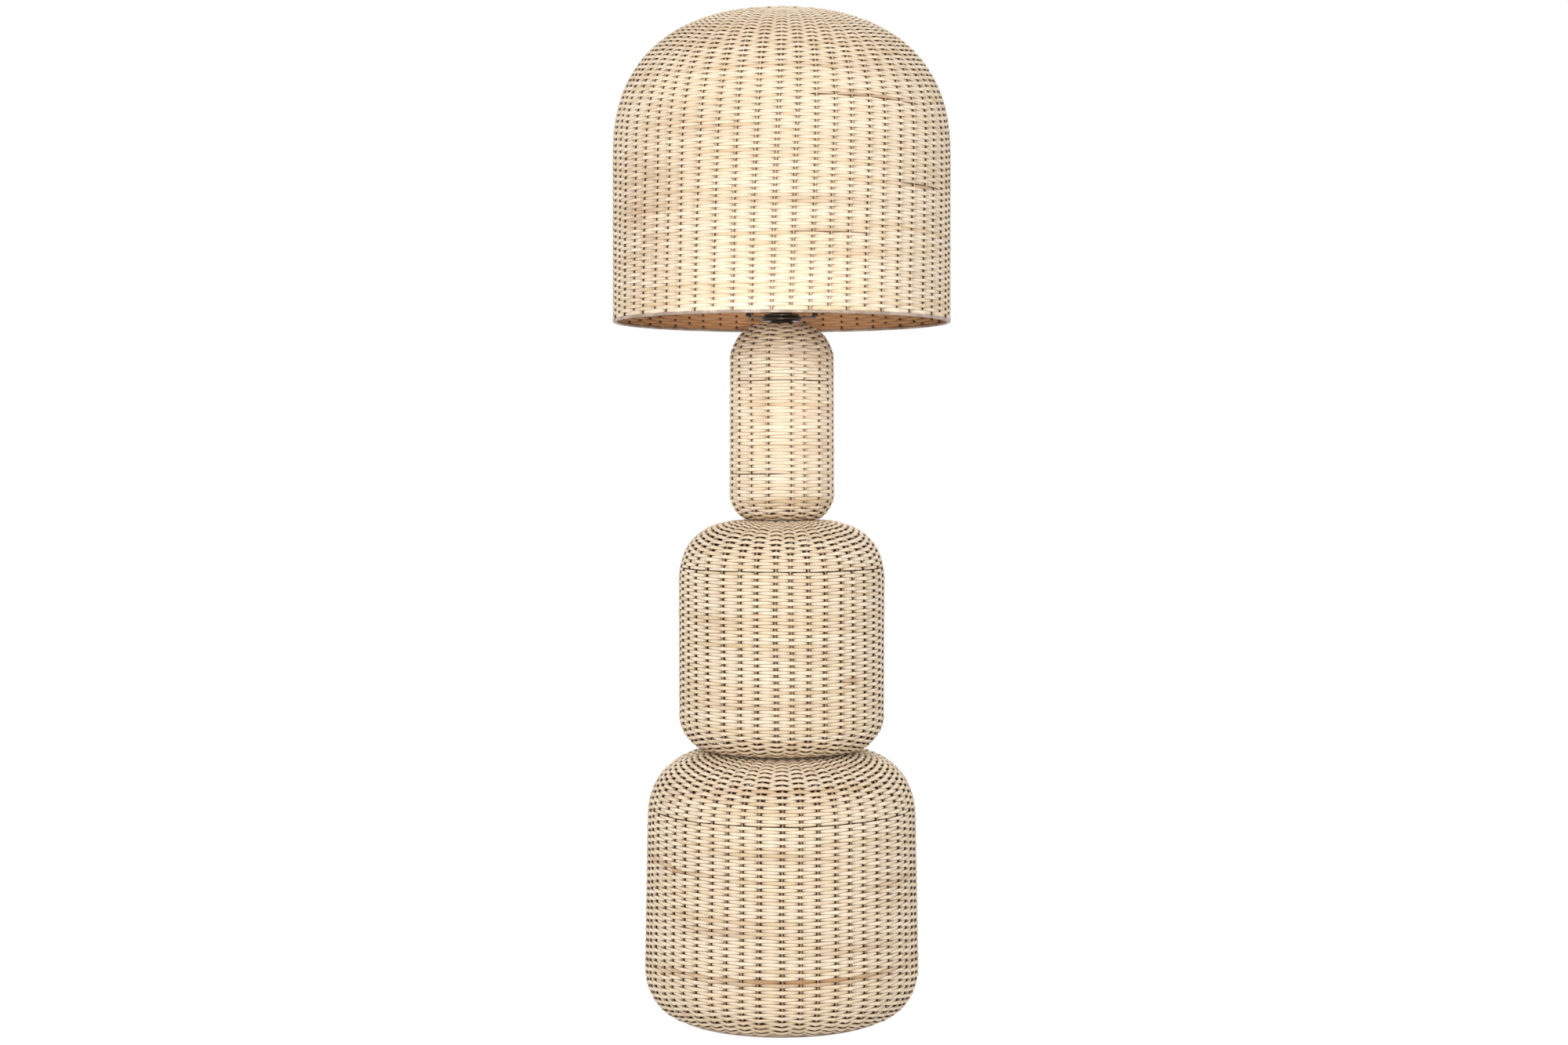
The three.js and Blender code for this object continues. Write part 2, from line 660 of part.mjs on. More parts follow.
// Bulb: contact tip, threaded cap and glass
const bulbTipBottom = contactBottom + contactThickness + seatGap;
const bulbCapBottom = bulbTipBottom + bulbTipHeight + seatGap;
const bulbCapTop = bulbCapBottom + bulbCapHeight;
add('bulb_contact', turnedRod(bulbTipRadius, bulbTipBottom, bulbTipBottom + bulbTipHeight), moulding);
const threadPitch = bulbCapHeight / (bulbThreads + 1);
const threadWaves = Array.from({ length: bulbThreads }, (_, i) => [
  [bulbCapRadius - bulbThreadDepth, bulbCapBottom + (i + threadValleyShare) * threadPitch],
  [bulbCapRadius, bulbCapBottom + (i + 1) * threadPitch],
]).flat();
const bulbCapInner = bulbCapRadius - bulbThreadDepth - bulbCapWall;
const bulbCap = turned([
  [0, bulbCapBottom], [bulbCapInner, bulbCapBottom], ...threadWaves,
  [bulbCapRadius - bulbThreadDepth, bulbCapTop], [bulbCapInner, bulbCapTop],
  [bulbCapInner, bulbCapBottom + bulbCapWall], [0, bulbCapBottom + bulbCapWall],
]);
add('bulb_cap', bulbCap, steel);

// The glass swells from its neck to a ball, whose middle is its radius below the top
function bulbGlassOutline(inset) {
  const neckBottom = bulbCapTop - bulbNeckRise;
  const top = neckBottom + bulbGlassHeight;
  const neckRadius = bulbCapInner - seatGap - inset;
  const ballMiddle = top - bulbGlassRadius;
  const waist = THREE.MathUtils.lerp(bulbCapTop, ballMiddle, bulbWaistShare);
  const flare = new THREE.CubicBezierCurve(
    new THREE.Vector2(neckRadius, bulbCapTop), new THREE.Vector2(neckRadius, waist),
    new THREE.Vector2(bulbGlassRadius - inset, waist), new THREE.Vector2(bulbGlassRadius - inset, ballMiddle),
  ).getPoints(bulbSteps).map(({ x, y }) => [x, y]);
  const ball = Array.from({ length: bulbSteps }, (_, i) => {
    const angle = ((i + 1) / bulbSteps) * (Math.PI / 2);
    const radius = bulbGlassRadius - inset;
    return [i + 1 < bulbSteps ? radius * Math.cos(angle) : 0, ballMiddle + radius * Math.sin(angle)];
  });
  return [[neckRadius, neckBottom], ...flare, ...ball];
}
add('bulb_glass', turned([...bulbGlassOutline(0), ...bulbGlassOutline(bulbGlassWall).reverse(),
  bulbGlassOutline(0)[0]]), glass);

// Shade: woven dome, its wire frame with the rim ring, dome disc and carrier ring
add('shade_weave', wovenShell(shadeBody), reed);
const domeTop = shadeWeaveBottom + shadeWallRise + domeRise;
const carrierTop = fitterBottom - seatGap;
const shadeRibBack = flatRadiusAt(shadeBody, weaveWall + seatGap + ribDepth, fitterTop);
const carrierOuter = (shadeRibBack + weldOverlap) / flatShare(shadeFacets);
const carrierInner = carrierOuter - ringWidth;
const ringMiddle = shadeRimBottom + rimRingHeight / 2;
const rimRingTop = shadeRimBottom + rimRingHeight;
const [rimInner, rimFlatInner, rimFlatOuter] = [1, rimFlatShares[1], rimFlatShares[0]].map((share) => (
  shadeRimRadius - share * rimRingWidth
));
const rimRing = turned([
  [rimInner, ringMiddle], [rimFlatInner, shadeRimBottom], [rimFlatOuter, shadeRimBottom],
  [shadeRimRadius, ringMiddle], [rimFlatOuter, rimRingTop], [rimFlatInner, rimRingTop],
  [rimInner, ringMiddle],
], shadeFacets);
const shadeTails = { foot: [0, ringMiddle - shadeWeaveBottom], mouth: [-weldOverlap, 0] };
const shadeFrameRibs = Array.from({ length: shadeRibs }, (_, i) => (
  cageRib(shadeBody, (i / shadeRibs) * 2 * Math.PI, shadeTails)
));
const domeDiscTop = domeTop - weaveWall - seatGap - ribDepth / 2;
add('shade_frame', join([
  rimRing,
  turnedRing(carrierInner, carrierOuter, carrierTop - carrierRingHeight, carrierTop, shadeFacets),
  turnedRod(domeDiscRadius, domeDiscTop - plateThickness, domeDiscTop, shadeFacets),
  ...shadeFrameRibs,
]), wire);

// Fitter: a hub on the harp's seat and arms that lie on the carrier ring
const armEnd = shadeRibBack - seatGap;
const armStart = fitterHubRadius - weldOverlap;
const fitterArmBlocks = Array.from({ length: fitterArms }, (_, i) => block(
  armEnd - armStart, fitterArmWidth, fitterThickness, (armEnd + armStart) / 2, 0, fitterBottom,
).rotateZ((i / fitterArms + fitterTurnShare) * 2 * Math.PI));
const fitterHub = turnedRing(studRadius + turnGap, fitterHubRadius, fitterBottom, fitterTop);
add('shade_fitter', join([fitterHub, ...fitterArmBlocks]), wire);

// Finial: a knurled nut with a blind bore over the stud
const finialBottom = fitterTop + seatGap;
const finialTop = finialBottom + finialHeight;
const boreTop = finialBottom + finialBoreDepth;
const finial = turned([
  [studRadius + turnGap, finialBottom], [finialRadius, finialBottom],
  [finialRadius, finialBottom + finialSkirtHeight], [finialNeckRadius, finialBottom + finialWaistHeight],
  [finialRadius, finialTop - finialRounding], [finialNeckRadius, finialTop], [0, finialTop], [0, boreTop],
  [studRadius + turnGap, boreTop], [studRadius + turnGap, finialBottom],
]);
add('finial', finial, brass);

export default lamp;
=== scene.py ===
"""Looks of a stacked rattan floor lamp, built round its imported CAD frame."""
import json
import logging
import math
from dataclasses import dataclass, field
from enum import Enum
from typing import Sequence

import bmesh
import bpy
import numpy as np
from mathutils import Matrix, Vector

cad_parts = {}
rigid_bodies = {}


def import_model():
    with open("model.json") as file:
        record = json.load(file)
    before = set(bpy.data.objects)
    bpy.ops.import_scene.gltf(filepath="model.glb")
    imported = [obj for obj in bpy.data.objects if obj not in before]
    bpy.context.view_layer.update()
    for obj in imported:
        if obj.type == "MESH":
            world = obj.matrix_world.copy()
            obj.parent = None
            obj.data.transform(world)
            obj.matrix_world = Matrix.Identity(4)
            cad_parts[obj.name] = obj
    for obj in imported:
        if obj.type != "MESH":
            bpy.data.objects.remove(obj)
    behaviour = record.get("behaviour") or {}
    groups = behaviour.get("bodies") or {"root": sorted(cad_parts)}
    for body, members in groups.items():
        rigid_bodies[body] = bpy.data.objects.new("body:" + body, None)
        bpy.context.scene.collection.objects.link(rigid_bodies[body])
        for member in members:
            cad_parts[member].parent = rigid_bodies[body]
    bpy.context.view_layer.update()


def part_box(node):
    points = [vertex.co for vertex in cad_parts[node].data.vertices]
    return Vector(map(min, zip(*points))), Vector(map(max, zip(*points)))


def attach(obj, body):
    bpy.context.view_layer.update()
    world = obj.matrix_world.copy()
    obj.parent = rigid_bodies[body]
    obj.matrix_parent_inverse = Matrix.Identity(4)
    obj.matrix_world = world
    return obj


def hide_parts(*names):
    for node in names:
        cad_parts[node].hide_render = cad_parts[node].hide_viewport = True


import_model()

MM = 0.001
NEAR = 0.001
FULL_TURN = 2 * math.pi
QUARTER_TURN = math.pi / 2
# Corners of the reed's section, and how its strip of the UV map lies
SECTION = 6
STRIP_EDGE = 0.04
STRIP_TO_FACE = (6.52, -5.76)
ROW_SHIFT = 1.37
# The tie pipe's hole and the switch's height in millimetres, and the grooves round a knob
BORE = 5.3
SWITCH_LEVEL = 1061.8
FLUTES = 24
LOG = logging.getLogger("rattan_lamp")


class Slot(Enum):
    """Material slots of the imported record."""

    REED = "reed"
    WIRE = "frame_wire"
    IRON = "cast_iron"
    RUBBER = "rubber"
    STEEL = "steel"
    BRONZE = "dark_bronze"
    BRASS = "brass"
    MOULDING = "moulding"
    CARD = "card"
    GLASS = "bulb_glass"


class Body(Enum):
    """CAD bodies that pieces ride on."""

    STAND = "stand"
    SHADE = "shade"
    FINIAL = "finial"
    SWIVEL = "harp_swivel"
    BULB = "bulb"
    SWITCH = "switch"
    SLEEVE_LEFT = "sleeve_left"
    SLEEVE_RIGHT = "sleeve_right"


Colour = tuple[float, float, float]
Corner = tuple[float, float]
Array = np.ndarray
BMesh = bmesh.types.BMesh
Material = bpy.types.Material
Mesh = bpy.types.Mesh
Object = bpy.types.Object
Socket = bpy.types.NodeSocket


def shown(*levels: int) -> Colour:
    """Turns a colour as it shows on a screen into the shader's linear one."""
    parts = (level / 255 for level in levels)
    return tuple(c / 12.92 if c <= 0.04045 else ((c + 0.055) / 1.055) ** 2.4 for c in parts)


class Graph:
    """Shader nodes of one material or world, added one call at a time."""

    def __init__(self, owner: Material | bpy.types.World) -> None:
        """Empties the nodes of their owner.

        Args:
            owner: the material or world.
        """
        self.owner = owner
        self.owner.use_nodes = True
        self.tree = self.owner.node_tree
        self.tree.nodes.clear()

    def add(self, kind: str, sockets: dict | None = None, **settings) -> bpy.types.Node:
        """Adds a node.

        Args:
            kind: the node's type without the ShaderNode in front.
            sockets: input names or indices with a value or an output to link.
            settings: properties of the node.

        Returns:
            The new node.
        """
        node = self.tree.nodes.new("ShaderNode" + kind)
        for key, value in settings.items():
            setattr(node, key, value)
        for key, value in (sockets or {}).items():
            self.feed(node.inputs[key], value)
        return node

    def feed(self, socket: Socket, value: object) -> None:
        """Links an output to a socket, or sets the socket's value.

        Args:
            socket: the input.
            value: an output, or a number, vector or colour.
        """
        if isinstance(value, Socket):
            self.tree.links.new(value, socket)
        elif socket.type == "RGBA":
            socket.default_value = (*value, 1.0)
        else:
            socket.default_value = value

    def maths(self, operation: str, *values: object) -> Socket:
        """Adds a Math node and returns its output."""
        return self.add("Math", dict(enumerate(values)), operation=operation).outputs[0]

    def mix(self, share: object, first: object, second: object) -> Socket:
        """Mixes two colours by a share and returns the colour output."""
        return self.add("Mix", {0: share, 6: first, 7: second}, data_type="RGBA").outputs[2]

    def tint(self, colour: object, share: object, weight: float, other: Colour) -> Socket:
        """Mixes another colour into one, by a share times a weight."""
        return self.mix(self.maths("MULTIPLY", share, weight), colour, other)

    def spread(self, value: object, low: float, high: float) -> Socket:
        """Maps the range low to high smoothly onto nought to one."""
        sockets = {"Value": value, "From Min": low, "From Max": high}
        return self.add("MapRange", sockets, interpolation_type="SMOOTHSTEP").outputs[0]

    def noise(self, vector: object, scale: float, detail: float = 2.0) -> Socket:
        """Adds a noise texture on a vector and returns its value."""
        return self.add("TexNoise", {"Vector": vector, "Scale": scale, "Detail": detail}).outputs[0]

    def stretched(self, vector: object, scale: Sequence[float]) -> Socket:
        """Scales a vector by an amount of its own along each axis."""
        return self.add("Mapping", {"Vector": vector, "Scale": scale}).outputs[0]

    def grain(self, vector: object, scale: Sequence[float], detail: float = 1.0) -> Socket:
        """Adds noise with a size of its own along each axis."""
        return self.noise(self.stretched(vector, scale), 1.0, detail)

    def place(self) -> Socket:
        """Returns the place on the piece in Object coordinates."""
        return self.add("TexCoord").outputs["Object"]

    def attribute(self, name: str) -> Socket:
        """Returns a number kept on the mesh under that name."""
        return self.add("Attribute", attribute_name=name).outputs["Fac"]

    def bump(self, height: object, distance: float, strength: float = 1.0) -> Socket:
        """Turns a height, in millimetres, into a bumped normal."""
        sockets = {"Height": height, "Distance": distance * MM, "Strength": strength}
        return self.add("Bump", sockets).outputs[0]


@dataclass(frozen=True)
class Finish:
    """A procedural material, and the slot of the record that it fills."""

    name: str
    slot: Slot

    def make(self) -> Material:
        """Builds the material.

        Returns:
            The new material.
        """
        g = Graph(bpy.data.materials.new(self.name))
        shader = g.add("BsdfPrincipled", self.sockets(g))
        g.add("OutputMaterial", {"Surface": shader.outputs[0]})
        return g.owner

    def sockets(self, g: Graph) -> dict:
        """Adds the finish's own nodes and returns what the shader takes."""
        raise NotImplementedError


@dataclass(frozen=True)
class ReedFinish(Finish):
    """Peeled rattan reed: pale strands with honey lengths and fibres, and painted shade in its grooves and
    where it dips behind a wire.
    """

    name: str = "peeled_reed"
    slot: Slot = Slot.REED
    pale: Colour = shown(250, 235, 212)
    straw: Colour = shown(244, 225, 194)
    honey: Colour = shown(219, 190, 147)
    stained_and_shaded: Colour = shown(178, 133, 84)
    # Painted shade: the colours and weights below darken the edges and flanks of strands, the lines and
    # ticks where a strand dips behind a wire, and the inner face
    shaded: Colour = shown(146, 110, 70)
    dark: Colour = shown(46, 30, 18)
    inside: Colour = shown(207, 158, 110)
    edge_shade: float = 0.16
    flank_shade: float = 0.6
    upper_shadow_line: float = 0.65
    lower_shadow_line: float = 0.65
    tick_shade: float = 0.95
    tick_shade_from: float = 0.68
    roughness: float = 0.5

    def sockets(self, g: Graph) -> dict:
        """Colours the strand, paints shade on it and on its inner face, and gives it fibres and a crowned
        face.

        Args:
            g: the material's graph.

        Returns:
            What the shader takes.
        """
        strand = g.add("UVMap", uv_map="strand").outputs[0]
        fibre = g.grain(strand, (60.0, 14.0, 1.0), 3.0)
        row = g.add("SeparateXYZ", {0: strand}).outputs[1]
        side = g.maths("MULTIPLY_ADD", g.maths("FRACT", row), *STRIP_TO_FACE)
        colour = self.woven(g, self.peeled(g, strand, fibre), side)
        crown = g.maths("SUBTRACT", 0.25, g.maths("MULTIPLY", side, side))
        relief = g.maths("ADD", g.maths("MULTIPLY", fibre, 0.3), g.maths("MAXIMUM", crown, 0.0))
        return {
            # The inner face takes a darker, warmer brown: painted shade for the dim inside of the shade.
            "Base Color": g.mix(g.attribute("inside"), colour, self.inside),
            "Roughness": g.maths("MULTIPLY_ADD", fibre, 0.25, self.roughness - 0.12),
            "Specular IOR Level": 0.35,
            "Normal": g.bump(relief, 0.8, 0.5),
        }

    def peeled(self, g: Graph, strand: Socket, fibre: Socket) -> Socket:
        """Colours the bare strand with its honey lengths, fibres, knots and darker patches, one of them
        painted shade.

        Args:
            g: the material's graph.
            strand: the place along and across the strand.
            fibre: the fibres' height.

        Returns:
            The colour.
        """
        tone = g.spread(g.grain(strand, (6.0, 2.3, 1.0)), 0.3, 0.68)
        patch = g.spread(g.grain(g.place(), (3.5, 3.5, 90.0), 2.0), 0.46, 0.72)
        honey = g.spread(g.grain(strand, (4.3, 3.7, 1.0)), 0.53, 0.7)
        knot = g.add(
            "TexVoronoi",
            {"Vector": g.stretched(strand, (2.6, 0.37, 1.0)), "Scale": 1.0},
            voronoi_dimensions="2D",
        ).outputs["Distance"]
        colour = g.tint(self.pale, tone, 0.7, self.straw)
        colour = g.tint(colour, patch, 0.38, self.honey)
        colour = g.tint(colour, honey, 0.7, self.honey)
        colour = g.tint(colour, g.spread(fibre, 0.42, 0.75), 0.5, self.honey)
        colour = g.tint(colour, g.spread(knot, 0.05, 0.02), 0.7, self.honey)
        streaks = g.spread(g.grain(strand, (3.1, 2.9, 1.0)), 0.3, 0.6)
        # Darker patches: brown lengths of reed, and painted shade across the dome's top
        return g.mix(g.maths("MULTIPLY", g.attribute("stain_and_shade"), streaks), colour, self.stained_and_shaded)

    def woven(self, g: Graph, colour: Socket, side: Socket) -> Socket:
        """Paints shade on the strand's edges and flanks, and painted shadow where it dips behind a stake.

        Args:
            g: the material's graph.
            colour: the bare strand's colour.
            side: place across the face, from -0.5 at its lower edge to 0.5 at its upper one.

        Returns:
            The colour.
        """
        # Painted shade along the strand's edges and flanks, in the grooves between rows
        off = g.maths("ABSOLUTE", side)
        colour = g.tint(colour, g.spread(off, 0.3, 0.5), self.edge_shade, self.shaded)
        colour = g.tint(colour, g.spread(off, 0.48, 0.62), self.flank_shade, self.shaded)
        # Painted shadow lines along the strand's edges where it dips, as its neighbours would cast them
        deep = g.spread(g.attribute("dip"), 0.5, 0.78)
        lines = []
        for towards, weight in ((1.0, self.upper_shadow_line), (-1.0, self.lower_shadow_line)):
            edge = g.maths("MULTIPLY_ADD", deep, 0.14, g.maths("MULTIPLY", side, towards))
            lines.append(g.maths("MULTIPLY", g.spread(edge, 0.28, 0.48), weight))
        colour = g.mix(g.maths("MULTIPLY", g.maths("MAXIMUM", *lines), deep), colour, self.dark)
        # Painted shade in ticks beside each wire, where the strand passes behind it
        tick_shade = g.spread(g.attribute("dip"), self.tick_shade_from, self.tick_shade_from + 0.07)
        return g.tint(colour, tick_shade, self.tick_shade, self.dark)


@dataclass(frozen=True)
class WireFinish(Finish):
    """Taupe paint on round wire, a little uneven, with painted shade on the side that the reed hides."""

    name: str = "taupe_wire"
    slot: Slot = Slot.WIRE
    light: Colour = shown(190, 170, 156)
    deep: Colour = shown(158, 139, 125)
    # Painted shade on the side that the reed hides
    dark: Colour = shown(40, 27, 16)

    def sockets(self, g: Graph) -> dict:
        """Paints the wire, with painted shade on the side that the reed hides.

        Args:
            g: the material's graph.

        Returns:
            What the shader takes.
        """
        patches = g.noise(g.place(), 55.0, 3.0)
        colour = g.mix(g.spread(patches, 0.35, 0.65), self.light, self.deep)
        return {
            "Base Color": g.mix(g.spread(g.attribute("shaded_side"), 0.2, 0.62), colour, self.dark),
            "Roughness": g.maths("MULTIPLY_ADD", patches, 0.3, 0.35),
            "Specular IOR Level": 0.4,
            "Normal": g.bump(g.noise(g.place(), 900.0), 0.1, 0.4),
        }


@dataclass(frozen=True)
class MetalFinish(Finish):
    """Metal with a brushed or cast grain, whose relief is in millimetres."""

    light: Colour
    deep: Colour
    roughness: float
    metallic: float
    grain: tuple[float, float, float]
    relief: float
    coat: float = 0.0

    def sockets(self, g: Graph) -> dict:
        """Gives the metal its patches and grain.

        Args:
            g: the material's graph.

        Returns:
            What the shader takes.
        """
        grain = g.grain(g.place(), self.grain, 3.0)
        patches = g.spread(g.noise(g.place(), 38.0), 0.3, 0.7)
        return {
            "Base Color": g.mix(patches, self.light, self.deep),
            "Metallic": self.metallic,
            "Roughness": g.maths("MULTIPLY_ADD", grain, 0.22, self.roughness - 0.11),
            "Coat Weight": self.coat,
            "Coat Roughness": 0.12,
            "Normal": g.bump(grain, self.relief, 0.5),
        }


@dataclass(frozen=True)
class PlainFinish(Finish):
    """Rubber, moulding, card and the like, with a fine grain in millimetres."""

    light: Colour
    deep: Colour
    roughness: float
    grain: float
    relief: float

    def sockets(self, g: Graph) -> dict:
        """Gives the surface its patches and grain.

        Args:
            g: the material's graph.

        Returns:
            What the shader takes.
        """
        grain = g.noise(g.place(), self.grain, 4.0)
        return {
            "Base Color": g.mix(g.noise(g.place(), 60.0), self.light, self.deep),
            "Roughness": g.maths("MULTIPLY_ADD", grain, 0.2, self.roughness - 0.1),
            "Normal": g.bump(grain, self.relief, 0.5),
        }


@dataclass(frozen=True)
class GlassFinish(Finish):
    """Frosted white bulb glass."""

    name: str = "frosted_glass"
    slot: Slot = Slot.GLASS
    clear: Colour = shown(250, 249, 244)
    milky: Colour = shown(240, 237, 228)

    def sockets(self, g: Graph) -> dict:
        """Frosts the glass.

        Args:
            g: the material's graph.

        Returns:
            What the shader takes.
        """
        frost = g.noise(g.place(), 650.0, 3.0)
        return {
            "Base Color": g.mix(g.noise(g.place(), 45.0), self.clear, self.milky),
            "Roughness": g.maths("MULTIPLY_ADD", frost, 0.2, 0.2),
            "Transmission Weight": 0.25,
            "IOR": 1.46,
            "Normal": g.bump(frost, 0.03, 0.3),
        }


# The reed finishes share their colours and differ in how much shade they paint: the most on the stand
# bodies, less on the upper body, the least on the shade, whose windows are lit from behind.
REED = ReedFinish()
FAINT_SHADE_REED = ReedFinish(
    "faint_shade_reed", dark=shown(72, 48, 30), edge_shade=0.04, flank_shade=0.3, upper_shadow_line=0.4, lower_shadow_line=0.06,
    tick_shade=0.85, tick_shade_from=0.735,
)
MID_SHADE_REED = ReedFinish(
    "mid_shade_reed", dark=shown(64, 43, 27), edge_shade=0.08, flank_shade=0.45, upper_shadow_line=0.5, lower_shadow_line=0.35,
    tick_shade=0.85, tick_shade_from=0.735,
)
WIRE = WireFinish()
# Copies of the wires' taupe paint: a darker one, painted shade, for the stand bodies' wires, and a lighter
# one, painted light, for the upper body's and the shade's
SHADOWED_STAKE = WireFinish("shadowed_stake_wire", Slot.WIRE, shown(170, 138, 108), shown(146, 116, 88))
LIT_STAKE = WireFinish(
    "lit_stake_wire", Slot.WIRE, shown(206, 180, 154), shown(184, 156, 128), shown(82, 56, 36)
)
IRON = MetalFinish(
    "painted_iron", Slot.IRON, shown(58, 55, 52), shown(40, 38, 36), 0.62, 0.35, (420, 420, 420), 0.5
)
STEEL = MetalFinish(
    "zinc_steel", Slot.STEEL, shown(206, 204, 198), shown(178, 176, 172), 0.34, 1.0, (60, 60, 900), 0.05
)
BRONZE = MetalFinish(
    "bronze_lacquer", Slot.BRONZE, shown(72, 54, 39), shown(52, 39, 28), 0.36, 0.4, (70, 70, 700), 0.04, 0.3
)
BRASS = MetalFinish(
    "satin_brass", Slot.BRASS, shown(222, 186, 120), shown(196, 156, 92), 0.3, 1.0, (60, 60, 800), 0.05
)
RUBBER = PlainFinish("black_rubber", Slot.RUBBER, shown(42, 41, 40), shown(30, 29, 28), 0.82, 700, 0.12)
MOULDING = PlainFinish(
    "phenolic_moulding", Slot.MOULDING, shown(48, 42, 39), shown(34, 30, 28), 0.42, 500, 0.04
)
CARD = PlainFinish("fibre_card", Slot.CARD, shown(158, 134, 104), shown(132, 108, 80), 0.88, 420, 0.15)
GLASS = GlassFinish()


class Paints:
    """Makes each finish once and puts it on pieces."""

    def __init__(self) -> None:
        """Starts with no materials made."""
        self.made: dict[str, Material] = {}

    def put(self, piece: Object, finish: Finish) -> None:
        """Gives a piece one finish.

        Args:
            piece: the piece.
            finish: the finish, made when it is first used.
        """
        if finish.name not in self.made:
            self.made[finish.name] = finish.make()
        piece.data.materials.clear()
        piece.data.materials.append(self.made[finish.name])


PAINTS = Paints()


def deliver(name: str, mesh: Mesh, body: Body, finish: Finish, node: str) -> Object:
    """Makes a finished piece from a mesh.

    Args:
        name: the piece's name.
        mesh: its mesh, in place and in metres.
        body: the CAD body that it rides on.
        finish: its finish.
        node: the CAD node that it stands for.

    Returns:
        The new object.
    """
    piece = bpy.data.objects.new(name, mesh)
    mesh.name = name
    bpy.context.scene.collection.objects.link(piece)
    PAINTS.put(piece, finish)
    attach(piece, body.value)
    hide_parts(node)
    LOG.info("made %s with %d faces", name, len(mesh.polygons))
    return piece


def settled(shape: BMesh, unit: float = MM) -> Mesh:
    """Merges a shape's doubles, turns its faces outwards and makes it a mesh.

    Args:
        shape: the shape, which is freed.
        unit: scale of the mesh.

    Returns:
        The mesh.
    """
    bmesh.ops.remove_doubles(shape, verts=shape.verts, dist=NEAR)
    bmesh.ops.recalc_face_normals(shape, faces=shape.faces)
    bmesh.ops.scale(shape, vec=(unit, unit, unit), verts=shape.verts)
    for face in shape.faces:
        face.smooth = True
    mesh = bpy.data.meshes.new("shape")
    shape.to_mesh(mesh)
    shape.free()
    return mesh


def eased(shape: BMesh, width: float, angle: float = 28.0, segments: int = 2) -> None:
    """Rounds every edge of a shape that turns by more than an angle.

    Args:
        shape: the shape.
        width: the width of the rounding, in millimetres.
        angle: the least angle, in degrees.
        segments: faces across the rounding.
    """
    bmesh.ops.remove_doubles(shape, verts=shape.verts, dist=NEAR)
    bmesh.ops.recalc_face_normals(shape, faces=shape.faces)
    limit = math.radians(angle)
    sharp = [e for e in shape.edges if len(e.link_faces) == 2 and e.calc_face_angle() > limit]
    bmesh.ops.bevel(
        shape,
        geom=sharp,
        offset=width,
        offset_type="OFFSET",
        affect="EDGES",
        segments=segments,
        profile=0.5,
        material=-1,
        clamp_overlap=True,
    )


def full_turn(shape: BMesh, outline: list, steps: int) -> None:
    """Spins an outline all the way round the Z axis.

    Args:
        shape: the shape that holds it.
        outline: its points and edges.
        steps: steps of the full turn.
    """
    bmesh.ops.spin(
        shape, geom=outline, cent=(0, 0, 0), axis=(0, 0, 1), dvec=(0, 0, 0), angle=FULL_TURN,
        steps=steps, use_merge=True, use_duplicate=False,
    )


def turned(corners: Sequence[Corner], segments: int = 64, rounding: float = 0.0) -> BMesh:
    """Turns a closed outline round the Z axis.

    Args:
        corners: radius and height of each corner, in millimetres.
        segments: steps of the full turn.
        rounding: width of the rounding on its sharp edges, in millimetres.

    Returns:
        The turned shape.
    """
    shape = bmesh.new()
    points = [shape.verts.new((radius, 0, height)) for radius, height in corners]
    edges = [shape.edges.new(pair) for pair in zip(points, points[1:] + points[:1])]
    full_turn(shape, points + edges, segments)
    bmesh.ops.remove_doubles(shape, verts=shape.verts, dist=NEAR)
    if rounding:
        eased(shape, rounding)
    return shape


def washer(
    inner: float, outer: float, bottom: float, top: float, segments: int, rounding: float
) -> BMesh:
    """Turns a plain ring's section, or a disc's when its inner radius is nought."""
    return turned([(inner, bottom), (outer, bottom), (outer, top), (inner, top)], segments, rounding)


def swept(points: Sequence[Vector], section: Sequence[Corner]) -> BMesh:
    """Pulls a closed section along a path.

    Args:
        points: the path, in millimetres.
        section: the section's corners across the path.

    Returns:
        The closed shape.
    """
    tangents = [
        (points[min(i + 1, len(points) - 1)] - points[max(i - 1, 0)]).normalized()
        for i in range(len(points))
    ]
    side = tangents[0].orthogonal().normalized()
    places = []
    for point, tangent in zip(points, tangents):
        side = (side - tangent * side.dot(tangent)).normalized()
        turn = Matrix((side, tangent.cross(side), tangent)).transposed().to_4x4()
        places.append(Matrix.Translation(point) @ turn)
    shape = bmesh.new()
    ring = [shape.verts.new((x, y, 0)) for x, y in section]
    shape.faces.new(ring)
    bmesh.ops.transform(shape, matrix=places[0], verts=ring)
    edges = list(shape.edges)
    for before, after in zip(places, places[1:]):
        made = bmesh.ops.extrude_edge_only(shape, edges=edges)["geom"]
        edges = [e for e in made if isinstance(e, bmesh.types.BMEdge)]
        fresh = [v for v in made if isinstance(v, bmesh.types.BMVert)]
        bmesh.ops.transform(shape, matrix=after @ before.inverted(), verts=fresh)
    bmesh.ops.holes_fill(shape, edges=edges, sides=0)
    return shape


def round_section(radius: float, sides: int = 16) -> list[Corner]:
    """Lists the corners of a round section."""
    turns = [FULL_TURN * i / sides for i in range(sides)]
    return [(radius * math.cos(turn), radius * math.sin(turn)) for turn in turns]


def block(low: Sequence[float], high: Sequence[float], rounding: float) -> BMesh:
    """Makes a block between two corners.

    Args:
        low: the corner with the least coordinates.
        high: the opposite corner.
        rounding: width of the rounding on its edges, in millimetres.

    Returns:
        The block.
    """
    shape = bmesh.new()
    bmesh.ops.create_cube(shape, size=1.0)
    size = [b - a for a, b in zip(low, high)]
    bmesh.ops.scale(shape, vec=size, verts=shape.verts)
    middle = [(a + b) / 2 for a, b in zip(low, high)]
    bmesh.ops.translate(shape, vec=middle, verts=shape.verts)
    eased(shape, rounding)
    return shape


